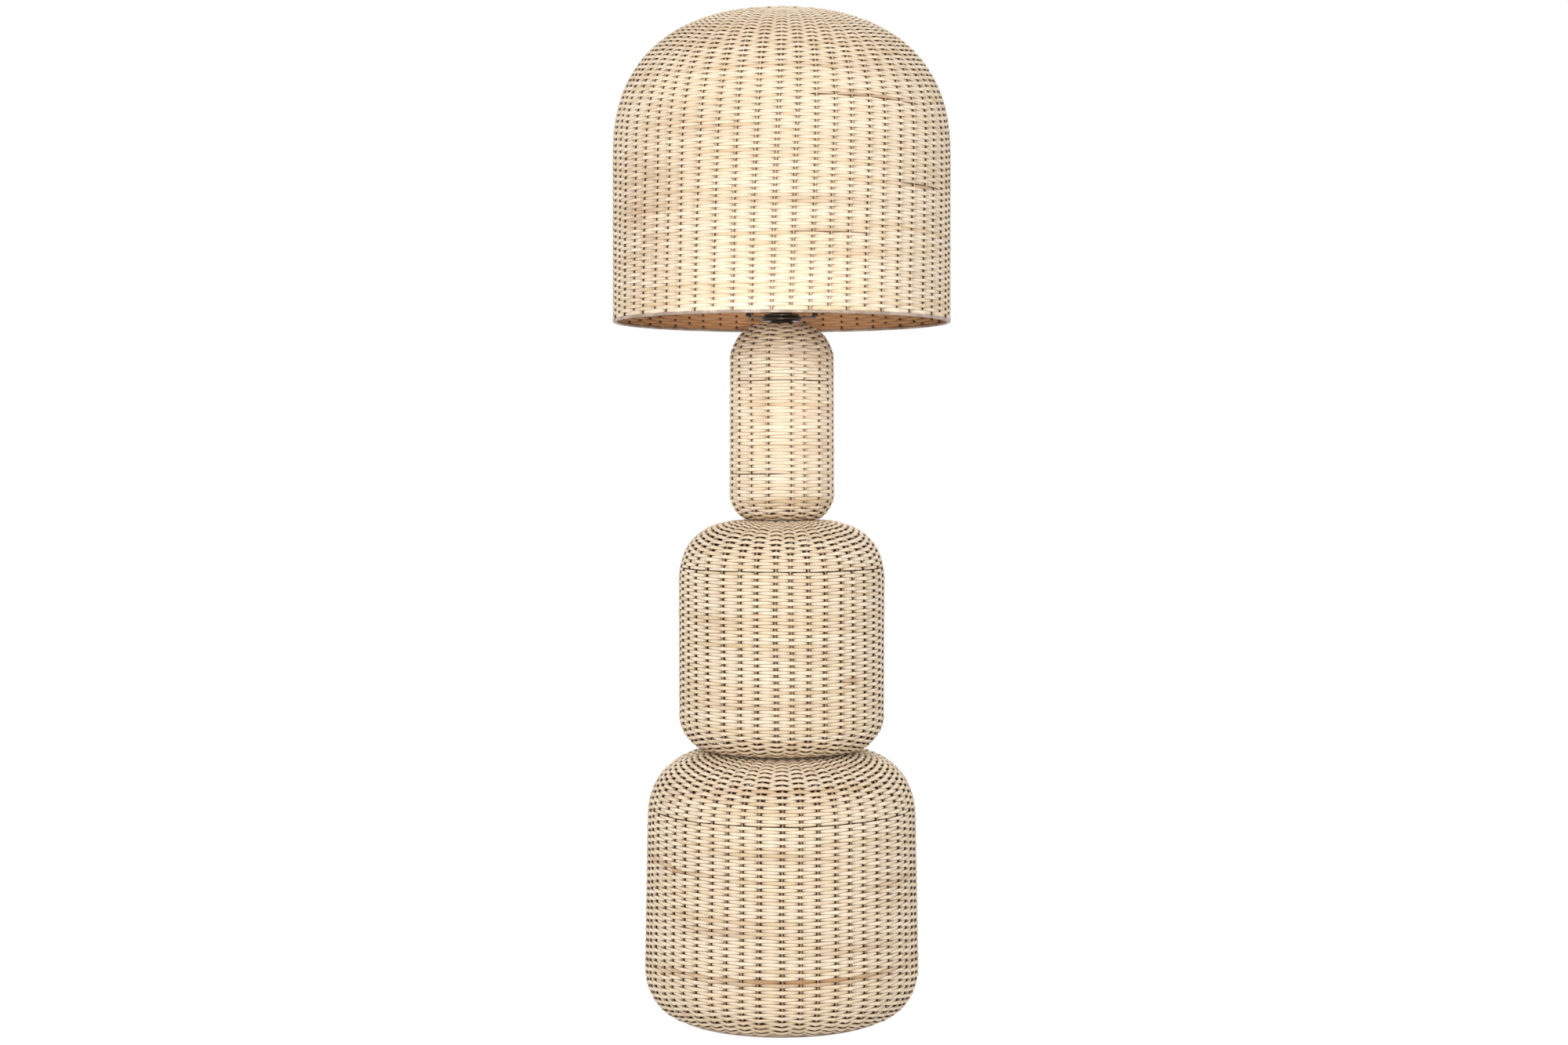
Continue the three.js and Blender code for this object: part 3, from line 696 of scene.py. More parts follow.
def gathered(shapes: Sequence[BMesh]) -> BMesh:
    """Puts several shapes in one.

    Args:
        shapes: the shapes, which are freed.

    Returns:
        The shape that holds them all.
    """
    whole = bmesh.new()
    for shape in shapes:
        mesh = settled(shape, 1.0)
        whole.from_mesh(mesh)
        bpy.data.meshes.remove(mesh)
    return whole


def repeated(blank: Mesh, count: int) -> Mesh:
    """Joins copies of a mesh in one.

    Args:
        blank: the mesh.
        count: number of copies.

    Returns:
        The new mesh.
    """
    whole = bmesh.new()
    for _ in range(count):
        whole.from_mesh(blank)
    mesh = bpy.data.meshes.new("copies")
    whole.to_mesh(mesh)
    whole.free()
    return mesh


def keep_numbers(mesh: Mesh, name: str, values: Array) -> None:
    """Keeps a number for each point of a mesh under a name."""
    kept = mesh.attributes.new(name, "FLOAT", "POINT")
    kept.data.foreach_set("value", values.astype(np.float32).ravel())


def azimuth_of(angle: Array) -> Array:
    """Turns angles about the axis into degrees from the front, from -180 to 180."""
    return np.degrees(np.angle(np.exp(1j * (angle + QUARTER_TURN))))


@dataclass(frozen=True)
class Path:
    """A body's neutral line from its foot to its mouth, as samples in metres."""

    run: Array
    radius: Array
    height: Array
    out_radius: Array
    out_height: Array

    @property
    def length(self) -> float:
        """Measures the line."""
        return float(self.run[-1])

    def place(self, run: Array, angle: Array, out: Array) -> Array:
        """Places points on and off the surface.

        Args:
            run: distance along the line from the foot.
            angle: azimuth about the axis.
            out: distance outwards from the line.

        Returns:
            The points, with their coordinates in the last axis.
        """
        kept = np.clip(run, 0.0, self.length)
        over = run - kept
        along_r = np.interp(kept, self.run, self.out_radius)
        along_z = np.interp(kept, self.run, self.out_height)
        radius = np.interp(kept, self.run, self.radius) + along_r * out - along_z * over
        height = np.interp(kept, self.run, self.height) + along_z * out + along_r * over
        radius = np.maximum(radius, 0.2 * MM)
        return np.stack([radius * np.cos(angle), radius * np.sin(angle), height], axis=-1)

    def at_height(self, height: float) -> float:
        """Finds how far along the line it first reaches a height, both in metres."""
        return float(np.interp(height, np.maximum.accumulate(self.height), self.run))


def run_along(radius: Array, height: Array) -> Array:
    """Measures the distance along a line from its start to each sample."""
    return np.concatenate([[0], np.cumsum(np.hypot(np.diff(radius), np.diff(height)))])


@dataclass(frozen=True)
class Outline:
    """Outer outline of one woven body, in millimetres, as the CAD has it."""

    bottom: float
    foot_radius: float
    foot_rise: float
    foot_power: float
    wall_bottom: float
    wall_rise: float
    wall_top: float
    crown_rise: float
    crown_power: float
    mouth_radius: float

    def quarter(self, run: float, rise: float, power: float) -> tuple[Array, Array]:
        """Rounds a quarter from its wall to its end.

        Args:
            run: how far it goes inwards.
            rise: how far it goes up or down.
            power: its superellipse's power, 2 for an ellipse.

        Returns:
            The distances still to go inwards, and those gone up or down.
        """
        angle = np.linspace(0, QUARTER_TURN, 240)
        across = np.clip(np.cos(angle), 0, 1) ** (2 / power)
        along = np.sin(angle) ** (2 / power)
        return run * across, rise * along

    def path(self, inset: float) -> Path:
        """Samples the line at a depth under the outline.

        Args:
            inset: depth in millimetres.

        Returns:
            The line in metres.
        """
        wall_level = self.bottom + self.foot_rise
        crown_run = self.wall_top - self.mouth_radius
        across, along = self.quarter(crown_run, self.crown_rise, self.crown_power)
        radius = self.mouth_radius + across
        height = wall_level + self.wall_rise + along
        if self.foot_rise:
            foot_run = self.wall_bottom - self.foot_radius
            across, along = self.quarter(foot_run, self.foot_rise, self.foot_power)
            radius = np.concatenate([(self.foot_radius + across)[::-1], radius])
            height = np.concatenate([(wall_level - along)[::-1], height])
        else:
            radius = np.concatenate([[self.wall_bottom], radius])
            height = np.concatenate([[wall_level], height])
        for _ in range(2):
            run = run_along(radius, height)
            even = np.linspace(0, run[-1], int(run[-1]) + 1)
            radius, height = np.interp(even, run, radius), np.interp(even, run, height)
        slope_r, slope_z = np.gradient(radius), np.gradient(height)
        size = np.hypot(slope_r, slope_z)
        out_r, out_z = slope_z / size, -slope_r / size
        radius, height = radius - inset * out_r, height - inset * out_z
        run = run_along(radius, height)
        return Path(run * MM, radius * MM, height * MM, out_r, out_z)


@dataclass(frozen=True)
class Seam:
    """A straight dark joint between two rows, all round or between two azimuths in degrees."""

    height: float
    gap: float = 0.7
    start: float = -180.0
    end: float = 180.0


@dataclass(frozen=True)
class StainAndShade:
    """A patch of darker reed, for brown lengths and for painted shade: height, azimuth, half height, half
    width and strength.
    """

    height: float
    azimuth: float
    tall: float
    wide: float
    strength: float


@dataclass(frozen=True)
class Zone:
    """Rows of one weave from a radius inwards, over fewer stakes than below."""

    radius: float
    group: int


@dataclass
class Stakes:
    """The upright wires of one body: those in front as they stand, the others evenly spaced."""

    count: int
    front: Sequence[float]
    lean: float
    lean_start: float
    seed: int
    rest: Array = field(init=False)
    sway: Array = field(init=False)

    def __post_init__(self) -> None:
        """Places the wires round the body and draws each one's sway."""
        draw = np.random.default_rng(self.seed)
        spare = self.count - len(self.front)
        gap = (360.0 + self.front[0] - self.front[-1]) / (spare + 1)
        back = self.front[-1] + gap * (np.arange(spare) + 1 + draw.uniform(-0.12, 0.12, spare))
        self.rest = np.radians(np.concatenate([self.front, back]) - 90.0)
        self.sway = draw.uniform(0, FULL_TURN, (2, self.count))

    def angles(self, share: Array) -> Array:
        """Places all wires round the axis, closed by the first one a turn later.

        Args:
            share: place between foot and mouth, from nought to one.

        Returns:
            An array with one more entry than there are wires in its last axis.
        """
        share = np.asarray(share)[..., None]
        sway = 0.03 * np.sin(5.0 * share + self.sway[0]) + 0.02 * np.sin(14.0 * share + self.sway[1])
        turn = math.radians(self.lean) * (share - self.lean_start)
        angle = self.rest + sway * FULL_TURN / self.count + turn
        return np.concatenate([angle, angle[..., :1] + FULL_TURN], axis=-1)


@dataclass(frozen=True)
class Blank:
    """One ring of reed to copy, with the step and the corner of its section of each point."""

    mesh: Mesh
    steps: int
    step: Array
    corner: Array


@dataclass
class Weave:
    """Plain weave of flat-oval reed over and under round wires, in millimetres."""

    name: str
    outline: Outline
    stakes: Stakes
    body: Body
    bands: int
    # What sets single rows and places apart
    seams: Sequence[Seam] = ()
    stains_and_shade: Sequence[StainAndShade] = ()
    zones: Sequence[Zone] = ()
    # Weight of the painted shade on the reeds' inner faces
    inner_face_shade: float = 0.0
    first_under: bool = False
    opening: tuple[float, float, float, float] | None = None
    extra_rows: int = 0
    # Rows, reed and wires
    pitch: float = 4.6
    thickness: float = 1.7
    wire_radius: float = 1.9
    wire_out: float = 0.5
    inset: float = 3.0
    skirt: float = 0.0
    flare: float = 0.0
    flare_reach: float = 7.0
    tails: tuple[float, float] = (0.0, 0.0)
    stations: int = 72
    reed: ReedFinish = REED
    stake: WireFinish = SHADOWED_STAKE
    seed: int = 5
    # The reed's wave from wire to wire: where its steps are, and how high over and under
    parts: Sequence[float] = (0.0, 0.1, 0.2, 0.5, 0.8, 0.9)
    over: Sequence[float] = (1.0, 0.75, 0.4, 0.0, -0.4, -0.75)
    under: Sequence[float] = (1.0, 0.47, 0.27, 0.0, -0.27, -0.47)
    # The reed's width in rows from under to over, and what changes where the outline bends
    widths: Sequence[float] = (0.6, 0.58, 0.548, 0.61, 0.63)
    thinner: float = -0.1
    closer: float = 0.32
    deeper: float = 0.05
    # What is left to chance, and how the rows wander together
    lift_noise: float = 0.08
    width_noise: float = 0.08
    run_noise: float = 0.13
    ripple_sizes: Sequence[float] = (0.35, 0.3, 0.2, 0.2, 0.12, 0.1)
    ripple_fade: float = 25.0
    # Corners of the reed's section, as shares of half its width and thickness
    across: Sequence[float] = (0.84, 1.0, 0.84, -0.84, -1.0, -0.84)
    depths: Sequence[float] = (0.96, 0.0, -0.96, -0.96, 0.0, 0.96)

    def __post_init__(self) -> None:
        """Works out the neutral line and the rows."""
        self.substeps = len(self.parts)
        self.path = self.outline.path(self.inset)
        self.rows = round(self.path.length / (self.pitch * MM))
        self.row_pitch = self.path.length / self.rows
        self.bend = np.clip((np.abs(self.path.out_height) - 0.3) / 0.5, 0, 1)
        self.draw = np.random.default_rng(self.seed)
        self.ripples = [
            (int(m), *self.draw.uniform(0, FULL_TURN, 2), self.draw.uniform(8, 40), size)
            for m, size in zip(self.draw.integers(1, 9, len(self.ripple_sizes)), self.ripple_sizes)
        ]

    def drift(self, angle: Array, run: Array) -> Array:
        """Works out how far the rows wander up or down together.

        Args:
            angle: azimuth about the axis.
            run: distance along the line.

        Returns:
            Distances in metres, none at the foot and the mouth.
        """
        total = np.zeros(np.broadcast(angle, run).shape)
        for waves, start, shift, rate, size in self.ripples:
            total += size * MM * np.sin(waves * angle + start + rate * run) * np.cos(rate * run + shift)
        to_end = np.minimum(run, self.path.length - run)
        return total * np.clip(to_end / (self.ripple_fade * MM), 0, 1)

    def ring_blank(self, count: int) -> Blank:
        """Makes one closed ring of reed about the axis.

        Args:
            count: crossings in the ring.

        Returns:
            The ring, with a radius of one.
        """
        shape = bmesh.new()
        tilt = Matrix.Translation((1, 0, 0)) @ Matrix.Rotation(QUARTER_TURN, 4, "X")
        bmesh.ops.create_circle(shape, segments=SECTION, radius=0.1, matrix=tilt)
        steps = count * self.substeps
        full_turn(shape, shape.verts[:] + shape.edges[:], steps)
        for edge in shape.edges:
            a, b = (Vector((v.co.xy.length - 1, v.co.z)) for v in edge.verts)
            edge.smooth = (a - b).length >= 0.01 or abs(a.x) >= 0.05
        mesh = settled(shape, 1.0)
        x, y, z = np.array([v.co for v in mesh.vertices], np.float32).T
        step = np.rint(np.arctan2(y, x) % FULL_TURN * steps / FULL_TURN).astype(int) % steps
        side = np.arctan2(z, np.hypot(x, y) - 1) % FULL_TURN
        corner = np.floor(side * SECTION / FULL_TURN).astype(int) % SECTION
        return Blank(mesh, steps, step, corner)

    def rows_of(self, first: int, last: int, group: int) -> Mesh:
        """Weaves the rows from first up to last.

        Args:
            first: index of the first row.
            last: index after the last row.
            group: how many wires each reed passes at once.

        Returns:
            The mesh of those rows, with its UV map and attributes.
        """
        count = self.stakes.count // group
        blank = self.ring_blank(count)
        places, details = self.lay(first, last, count, group)
        mesh = repeated(blank.mesh, last - first)
        places = places[:, blank.step, blank.corner]
        mesh.vertices.foreach_set("co", places.astype(np.float32).ravel())
        for name, values in details.items():
            keep_numbers(mesh, name, values[:, blank.step, blank.corner])
        self.unroll(mesh, blank, first, last)
        bpy.data.meshes.remove(blank.mesh)
        mesh.update()
        return mesh

    def lay(self, first: int, last: int, count: int, group: int) -> tuple[Array, dict]:
        """Works out where every corner of every row lies.

        Args:
            first: index of the first row.
            last: index after the last row.
            count: crossings in one row.
            group: how many wires each reed passes at once.

        Returns:
            Places by row, step and corner, and the numbers that the finish reads.
        """
        row = np.arange(first, last)[:, None]
        run = (row + 0.5) * self.row_pitch
        lines = self.stakes.angles(run[:, 0] / self.path.length)[:, ::group]
        wire, number = np.divmod(np.arange(count * self.substeps), self.substeps)
        part = np.take(self.parts, number)
        angle = lines[:, wire] * (1 - part) + lines[:, wire + 1] * part
        side = 1 - 2 * ((row + wire + self.first_under) % 2)
        bend = np.interp(run, self.path.run, self.bend)
        over, under = side * np.take(self.over, number), side * np.take(self.under, number)
        wave = (1 - bend) * np.where(over > 0, over, under) + bend * side * np.cos(math.pi * part)
        live = self.crossing_noise(row, wire, part, count)
        lift = (self.wire_radius + self.thickness / 2) * MM * wave
        lift = lift * (1 + self.deeper * bend) * (1 + self.lift_noise * live[0])
        run = run + self.drift(angle, run) + self.run_noise * MM * live[1]
        width = np.interp(wave, (-1, -0.6, 0, 0.6, 1), self.widths) * self.row_pitch / MM
        width = width + self.width_noise * live[2]
        spared = self.thinner * np.clip(0.5 + wave, 0, 1) - self.closer * np.clip(-wave, 0, 1)
        width = width * (1 - bend * spared) * MM
        upper, lower = self.squared_at_seams(row, angle, width)
        lower = lower + np.where(row == 0, self.skirt * MM, 0)
        across, depth = np.array(self.across), np.array(self.depths)
        reach = np.where(across > 0, upper[..., None], lower[..., None]) * across
        out = lift[..., None] + depth * self.thickness / 2 * MM
        run_at, angle_at = self.parted(run[..., None] + reach, angle[..., None] + 0 * across)
        places = self.path.place(run_at, angle_at, out)
        # Numbers for the finish: how far each point dips, which steers the painted shade; the inner faces,
        # which take painted shade; and the darker patches
        dip = np.repeat((1 - wave[..., None]) / 2, SECTION, axis=-1)
        inside = np.broadcast_to(np.where(depth < 0, self.inner_face_shade, 0.0), dip.shape)
        stain_and_shade = np.repeat(self.stained_and_shaded(run, angle)[..., None], SECTION, axis=-1)
        return places, {"dip": dip, "inside": inside, "stain_and_shade": stain_and_shade}

    def parted(self, run: Array, angle: Array) -> tuple[Array, Array]:
        """Moves reed and wire aside round the body's opening, if it has one.

        Args:
            run: distance along the line.
            angle: azimuth.

        Returns:
            Both, moved.
        """
        if self.opening is None:
            return run, angle
        height, azimuth, hole, reach = self.opening
        middle = self.path.at_height(height * MM)
        radius = np.interp(middle, self.path.run, self.path.radius)
        aside = np.angle(np.exp(1j * (angle - math.radians(azimuth - 90)))) * radius
        above = run - middle
        far = np.maximum(np.hypot(aside, above), MM / 100)
        fade = np.clip(1 - far / (reach * MM), 0, 1)
        push = (np.sqrt(far**2 + (hole * MM) ** 2) - far) * fade**0.5 / far
        return run + above * push, angle + aside * push / radius

    def crossing_noise(
        self, row: Array, wire: Array, part: Array, count: int
    ) -> list[Array]:
        """Draws three smooth random numbers that change from crossing to crossing.

        Args:
            row: the rows' indices.
            wire: the wire before each step.
            part: each step's place between two wires.
            count: crossings in one row.

        Returns:
            Three arrays by row and step.
        """
        results = []
        for _ in range(3):
            table = self.draw.normal(0, 1, (len(row), count)).clip(-2, 2)
            table = np.concatenate([table, table[:, :1]], axis=1)
            results.append(table[:, wire] * (1 - part) + table[:, wire + 1] * part)
        return results

    def squared_at_seams(
        self, row: Array, angle: Array, width: Array
    ) -> tuple[Array, Array]:
        """Makes rows straight where a seam runs along them.

        Args:
            row: the rows' indices.
            angle: azimuth about the axis.
            width: half the reed's width, in metres.

        Returns:
            The rows' upper and lower reach.
        """
        upper, lower = width.copy(), width.copy()
        azimuth = azimuth_of(angle)
        for seam in self.seams:
            above = round(self.path.at_height(seam.height * MM) / self.row_pitch)
            flat = self.row_pitch / 2 - seam.gap / 2 * MM
            near = (azimuth >= seam.start) & (azimuth <= seam.end)
            lower[:] = np.where(near & (row == above), flat, lower)
            upper[:] = np.where(near & (row == above - 1), flat, upper)
        return upper, lower

    def stained_and_shaded(self, run: Array, angle: Array) -> Array:
        """Works out how strong the darker patches are.

        Args:
            run: distance along the line.
            angle: azimuth about the axis.

        Returns:
            Strengths from nought to one.
        """
        azimuth = azimuth_of(angle)
        height = np.interp(run, self.path.run, self.path.height) / MM
        total = np.zeros(run.shape)
        for stain_and_shade in self.stains_and_shade:
            far = ((height - stain_and_shade.height) / stain_and_shade.tall) ** 2
            far = far + ((azimuth - stain_and_shade.azimuth) / stain_and_shade.wide) ** 2
            total = np.maximum(total, stain_and_shade.strength * np.exp(-far))
        return total

    def unroll(self, mesh: Mesh, blank: Blank, first: int, last: int) -> None:
        """Gives each row a UV strip: metres along the strand, and its row number across.

        Args:
            mesh: the rows' mesh.
            blank: the ring that they are copies of.
            first: index of the first row.
            last: index after the last row.
        """
        corners = np.empty(len(blank.mesh.loops), np.int32)
        blank.mesh.loops.foreach_get("vertex_index", corners)
        along = blank.step[corners].reshape(-1, 4)
        around = blank.corner[corners].reshape(-1, 4)
        ends = (along.max(1, keepdims=True) == blank.steps - 1) & (along == 0)
        along = np.where(ends, blank.steps, along)
        ends = (around.max(1, keepdims=True) == SECTION - 1) & (around == 0)
        around = np.where(ends, SECTION, around)
        rows = np.arange(first, last)[:, None]
        radius = np.interp((rows + 0.5) * self.row_pitch, self.path.run, self.path.radius)
        u = along.ravel() / blank.steps * (FULL_TURN * radius) + rows * ROW_SHIFT
        v = rows + STRIP_EDGE + (1 - 2 * STRIP_EDGE) * around.ravel() / SECTION
        layer = mesh.uv_layers.new(name="strand")
        flat = np.stack([u, v], axis=-1).astype(np.float32)
        layer.uv.foreach_set("vector", flat.ravel())

    def wires(self, start: float, end: float, kept: Sequence[int]) -> Mesh:
        """Makes the upright wires between two places on the line.

        Args:
            start: distance from the foot where they begin.
            end: distance from the foot where they end.
            kept: which of the wires to make.

        Returns:
            The mesh of the wires.
        """
        shape = bmesh.new()
        stations = self.stations
        bmesh.ops.create_cone(shape, cap_ends=True, segments=8, radius1=1, radius2=1, depth=stations)
        long_edges = [e for e in shape.edges if abs(e.verts[0].co.z - e.verts[1].co.z) > 1]
        bmesh.ops.subdivide_edges(shape, edges=long_edges, cuts=stations - 1, use_grid_fill=True)
        blank = settled(shape, 1.0)
        x, y, z = np.array([v.co for v in blank.vertices]).T
        run = start + (end - start) * np.rint(z + stations / 2).astype(int) / stations
        near_foot = np.clip(1 - (run - start) / (self.flare_reach * MM), 0, 1) ** 2
        size = self.wire_radius * MM * (1 + self.flare * near_foot)
        lines = self.stakes.angles(run / self.path.length)[:, :-1][:, kept].T
        radius = np.interp(run, self.path.run, self.path.radius)
        angle = lines + size * x / np.maximum(radius, 3 * MM)
        run_at, angle_at = self.parted(run + 0 * angle, angle)
        places = self.path.place(run_at, angle_at, y * size + self.wire_out * MM + 0 * angle)
        mesh = repeated(blank, len(kept))
        mesh.vertices.foreach_set("co", places.astype(np.float32).ravel())
        bpy.data.meshes.remove(blank)
        mesh = outwards(mesh)
        # How far each point turns away from the outside, which steers the wire's painted shade
        keep_numbers(mesh, "shaded_side", np.tile(1 - np.clip(y, 0, 1), len(kept)))
        return mesh

    def row_inside(self, radius: float) -> int:
        """Finds the row at which the body's crown gets narrower than a radius.

        Args:
            radius: the radius.

        Returns:
            The row's index.
        """
        inner = np.where(self.path.radius < radius * MM)[0]
        inner = inner[inner > len(self.path.run) // 2]
        return int(self.path.run[inner[0]] / self.row_pitch)

    def build(self) -> list[Object]:
        """Weaves the reed in bands and sets its wires.

        Returns:
            The new pieces.
        """
        levels = [*(self.row_inside(zone.radius) for zone in self.zones), self.rows + self.extra_rows]
        groups = [1, *(zone.group for zone in self.zones)]
        cuts = np.linspace(0, levels[0], self.bands + 1).astype(int)
        spans = [*zip(cuts, cuts[1:], [1] * self.bands), *zip(levels, levels[1:], groups[1:])]
        pieces = []
        for number, span in enumerate(spans, 1):
            name = f"{self.name}_reed_{number}"
            mesh = self.rows_of(*span)
            pieces.append(deliver(name, mesh, self.body, self.reed, f"{self.name}_weave"))
        start = -self.tails[0] * MM
        ends = [level * self.row_pitch for level in levels]
        ends[-1] += self.tails[1] * MM
        wires = range(self.stakes.count)
        reached = [max(zone for zone, group in enumerate(groups) if wire % group == 0) for wire in wires]
        for zone, end in enumerate(ends):
            name = f"{self.name}_stakes_{zone + 1}"
            mesh = self.wires(start, end, [wire for wire in wires if reached[wire] == zone])
            pieces.append(deliver(name, mesh, self.body, self.stake, f"{self.name}_frame"))
        return pieces


def outwards(mesh: Mesh) -> Mesh:
    """Turns the faces of a mesh of closed shapes outwards.

    Args:
        mesh: the mesh.

    Returns:
        The same mesh.
    """
    shape = bmesh.new()
    shape.from_mesh(mesh)
    bmesh.ops.recalc_face_normals(shape, faces=shape.faces)
    shape.to_mesh(mesh)
    shape.free()
    return mesh


def fluted(shape: BMesh, above: float, depth: float) -> BMesh:
    """Presses upright grooves into a shape.

    Args:
        shape: the shape.
        above: the radius beyond which it is pressed in.
        depth: the grooves' depth.

    Returns:
        The same shape.
    """
    for vertex in shape.verts:
        radius = math.hypot(vertex.co.x, vertex.co.y)
        if radius > above:
            turn = math.atan2(vertex.co.y, vertex.co.x)
            share = 1 - depth * (0.5 + 0.5 * math.cos(FLUTES * turn)) / radius
            vertex.co.x, vertex.co.y = vertex.co.x * share, vertex.co.y * share
    return shape


def moved(shape: BMesh, matrix: Matrix) -> BMesh:
    """Moves a shape by a matrix and returns it."""
    bmesh.ops.transform(shape, matrix=matrix, verts=shape.verts)
    return shape


def spun(angle: float) -> Matrix:
    """Makes a turn about the vertical axis, in degrees."""
    return Matrix.Rotation(math.radians(angle), 4, "Z")


def facing_back(y: float, z: float) -> Matrix:
    """Lays the vertical axis over towards the back, from a place in the middle plane."""
    return Matrix.Translation((0, y, z)) @ Matrix.Rotation(-QUARTER_TURN, 4, "X")


@dataclass
class Cage:
    """Rings, top plate, hub and spokes of one stand body."""

    weave: Weave
    foot_radius: float
    foot_bottom: float
    foot_top: float
    mouth_radius: float
    plate_top: float
    hub_bottom: float
    spokes: int
    first_spoke: float
    hoop: bool = False
    ring_width: float = 5
    ring_gap: float = 0.3
    thickness: float = 3
    hub_radius: float = 25
    spoke_start: float = 23.5
    spoke_half_width: float = 6
    hoop_radius: float = 2.2
    hoop_depth: float = 3.4

    def build(self) -> Object:
        """Builds the cage's flat parts as one welded piece.

        Returns:
            The piece.
        """
        outer, top = self.foot_radius - self.ring_gap, self.plate_top
        low, high = self.hub_bottom, self.hub_bottom + self.thickness
        shapes = [
            washer(outer - self.ring_width, outer, self.foot_bottom, self.foot_top, 128, 1.2),
            washer(BORE, self.mouth_radius, top - self.thickness, top, 64, 0.6),
            washer(BORE, self.hub_radius, low, high, 64, 0.6),
        ]
        end = outer - self.ring_width / 2
        if self.hoop:
            path = self.weave.path
            level = (low + high) / 2
            wall = float(np.interp(level * MM, path.height[:200], path.radius[:200])) / MM
            end = wall - self.hoop_depth
            hoop = [(end + x, level + y) for x, y in round_section(self.hoop_radius, 12)]
            shapes.append(turned(hoop, 128))
        for number in range(self.spokes):
            near, far = (self.spoke_start, -self.spoke_half_width), (end, self.spoke_half_width)
            spoke = block((*near, low), (*far, high), 0.7)
            shapes.append(moved(spoke, spun(self.first_spoke + number * 360 / self.spokes)))
        name = self.weave.name
        return deliver(f"{name}_cage", settled(gathered(shapes)), Body.STAND, WIRE, f"{name}_frame")


@dataclass
class ShadeFrame:
    """Rim ring, carrier ring and dome disc of the shade."""

    rim_radius: float = 250.5
    rim_height: float = 1034.7
    rim_half_width: float = 2.8
    rim_half_height: float = 2.2
    carrier_inner: float = 242.5
    carrier_outer: float = 249.4
    carrier_bottom: float = 1294.6
    carrier_top: float = 1298.6
    disc_radius: float = 24
    disc_top: float = 1492.2

    def build(self) -> Object:
        """Builds the shade's rings and disc as one welded piece.

        Returns:
            The piece.
        """
        section = [
            (
                self.rim_radius + self.rim_half_width * math.copysign(abs(x) ** 0.7, x),
                self.rim_height + self.rim_half_height * math.copysign(abs(y) ** 0.7, y),
            )
            for x, y in round_section(1.0)
        ]
        shapes = [
            turned(section, 192),
            washer(
                self.carrier_inner, self.carrier_outer, self.carrier_bottom, self.carrier_top, 128, 0.8
            ),
            washer(0, self.disc_radius, self.disc_top - 3, self.disc_top, 48, 0.6),
        ]
        return deliver("shade_rings", settled(gathered(shapes)), Body.SHADE, WIRE, "shade_frame")


@dataclass
class Neck:
    """Collar in the top body's mouth, and the flange over it."""

    hub_radius: float = 17.5
    hub_bottom: float = 1027
    hub_top: float = 1035.2
    flange_radius: float = 30.5
    flange_bottom: float = 1035.5
    flange_top: float = 1040.3

    def build(self) -> None:
        """Builds both pieces."""
        hub = washer(BORE, self.hub_radius, self.hub_bottom, self.hub_top, 96, 0.7)
        deliver("neck_collar", settled(hub), Body.STAND, BRONZE, "neck_hub")
        edge, low, top = self.flange_radius, self.flange_bottom, self.flange_top
        corners = [
            (BORE, low), (edge - 2.2, low), (edge - 1.2, low + 0.35), (edge - 0.4, low + 1.0),
            (edge, low + 2.0), (edge, top - 0.4), (edge - 0.4, top), (BORE, top),
        ]
        flange = turned(corners, 128)
        eased(flange, 0.2, 40, 1)
        deliver("neck_cap", settled(flange), Body.STAND, BRONZE, "neck_flange")


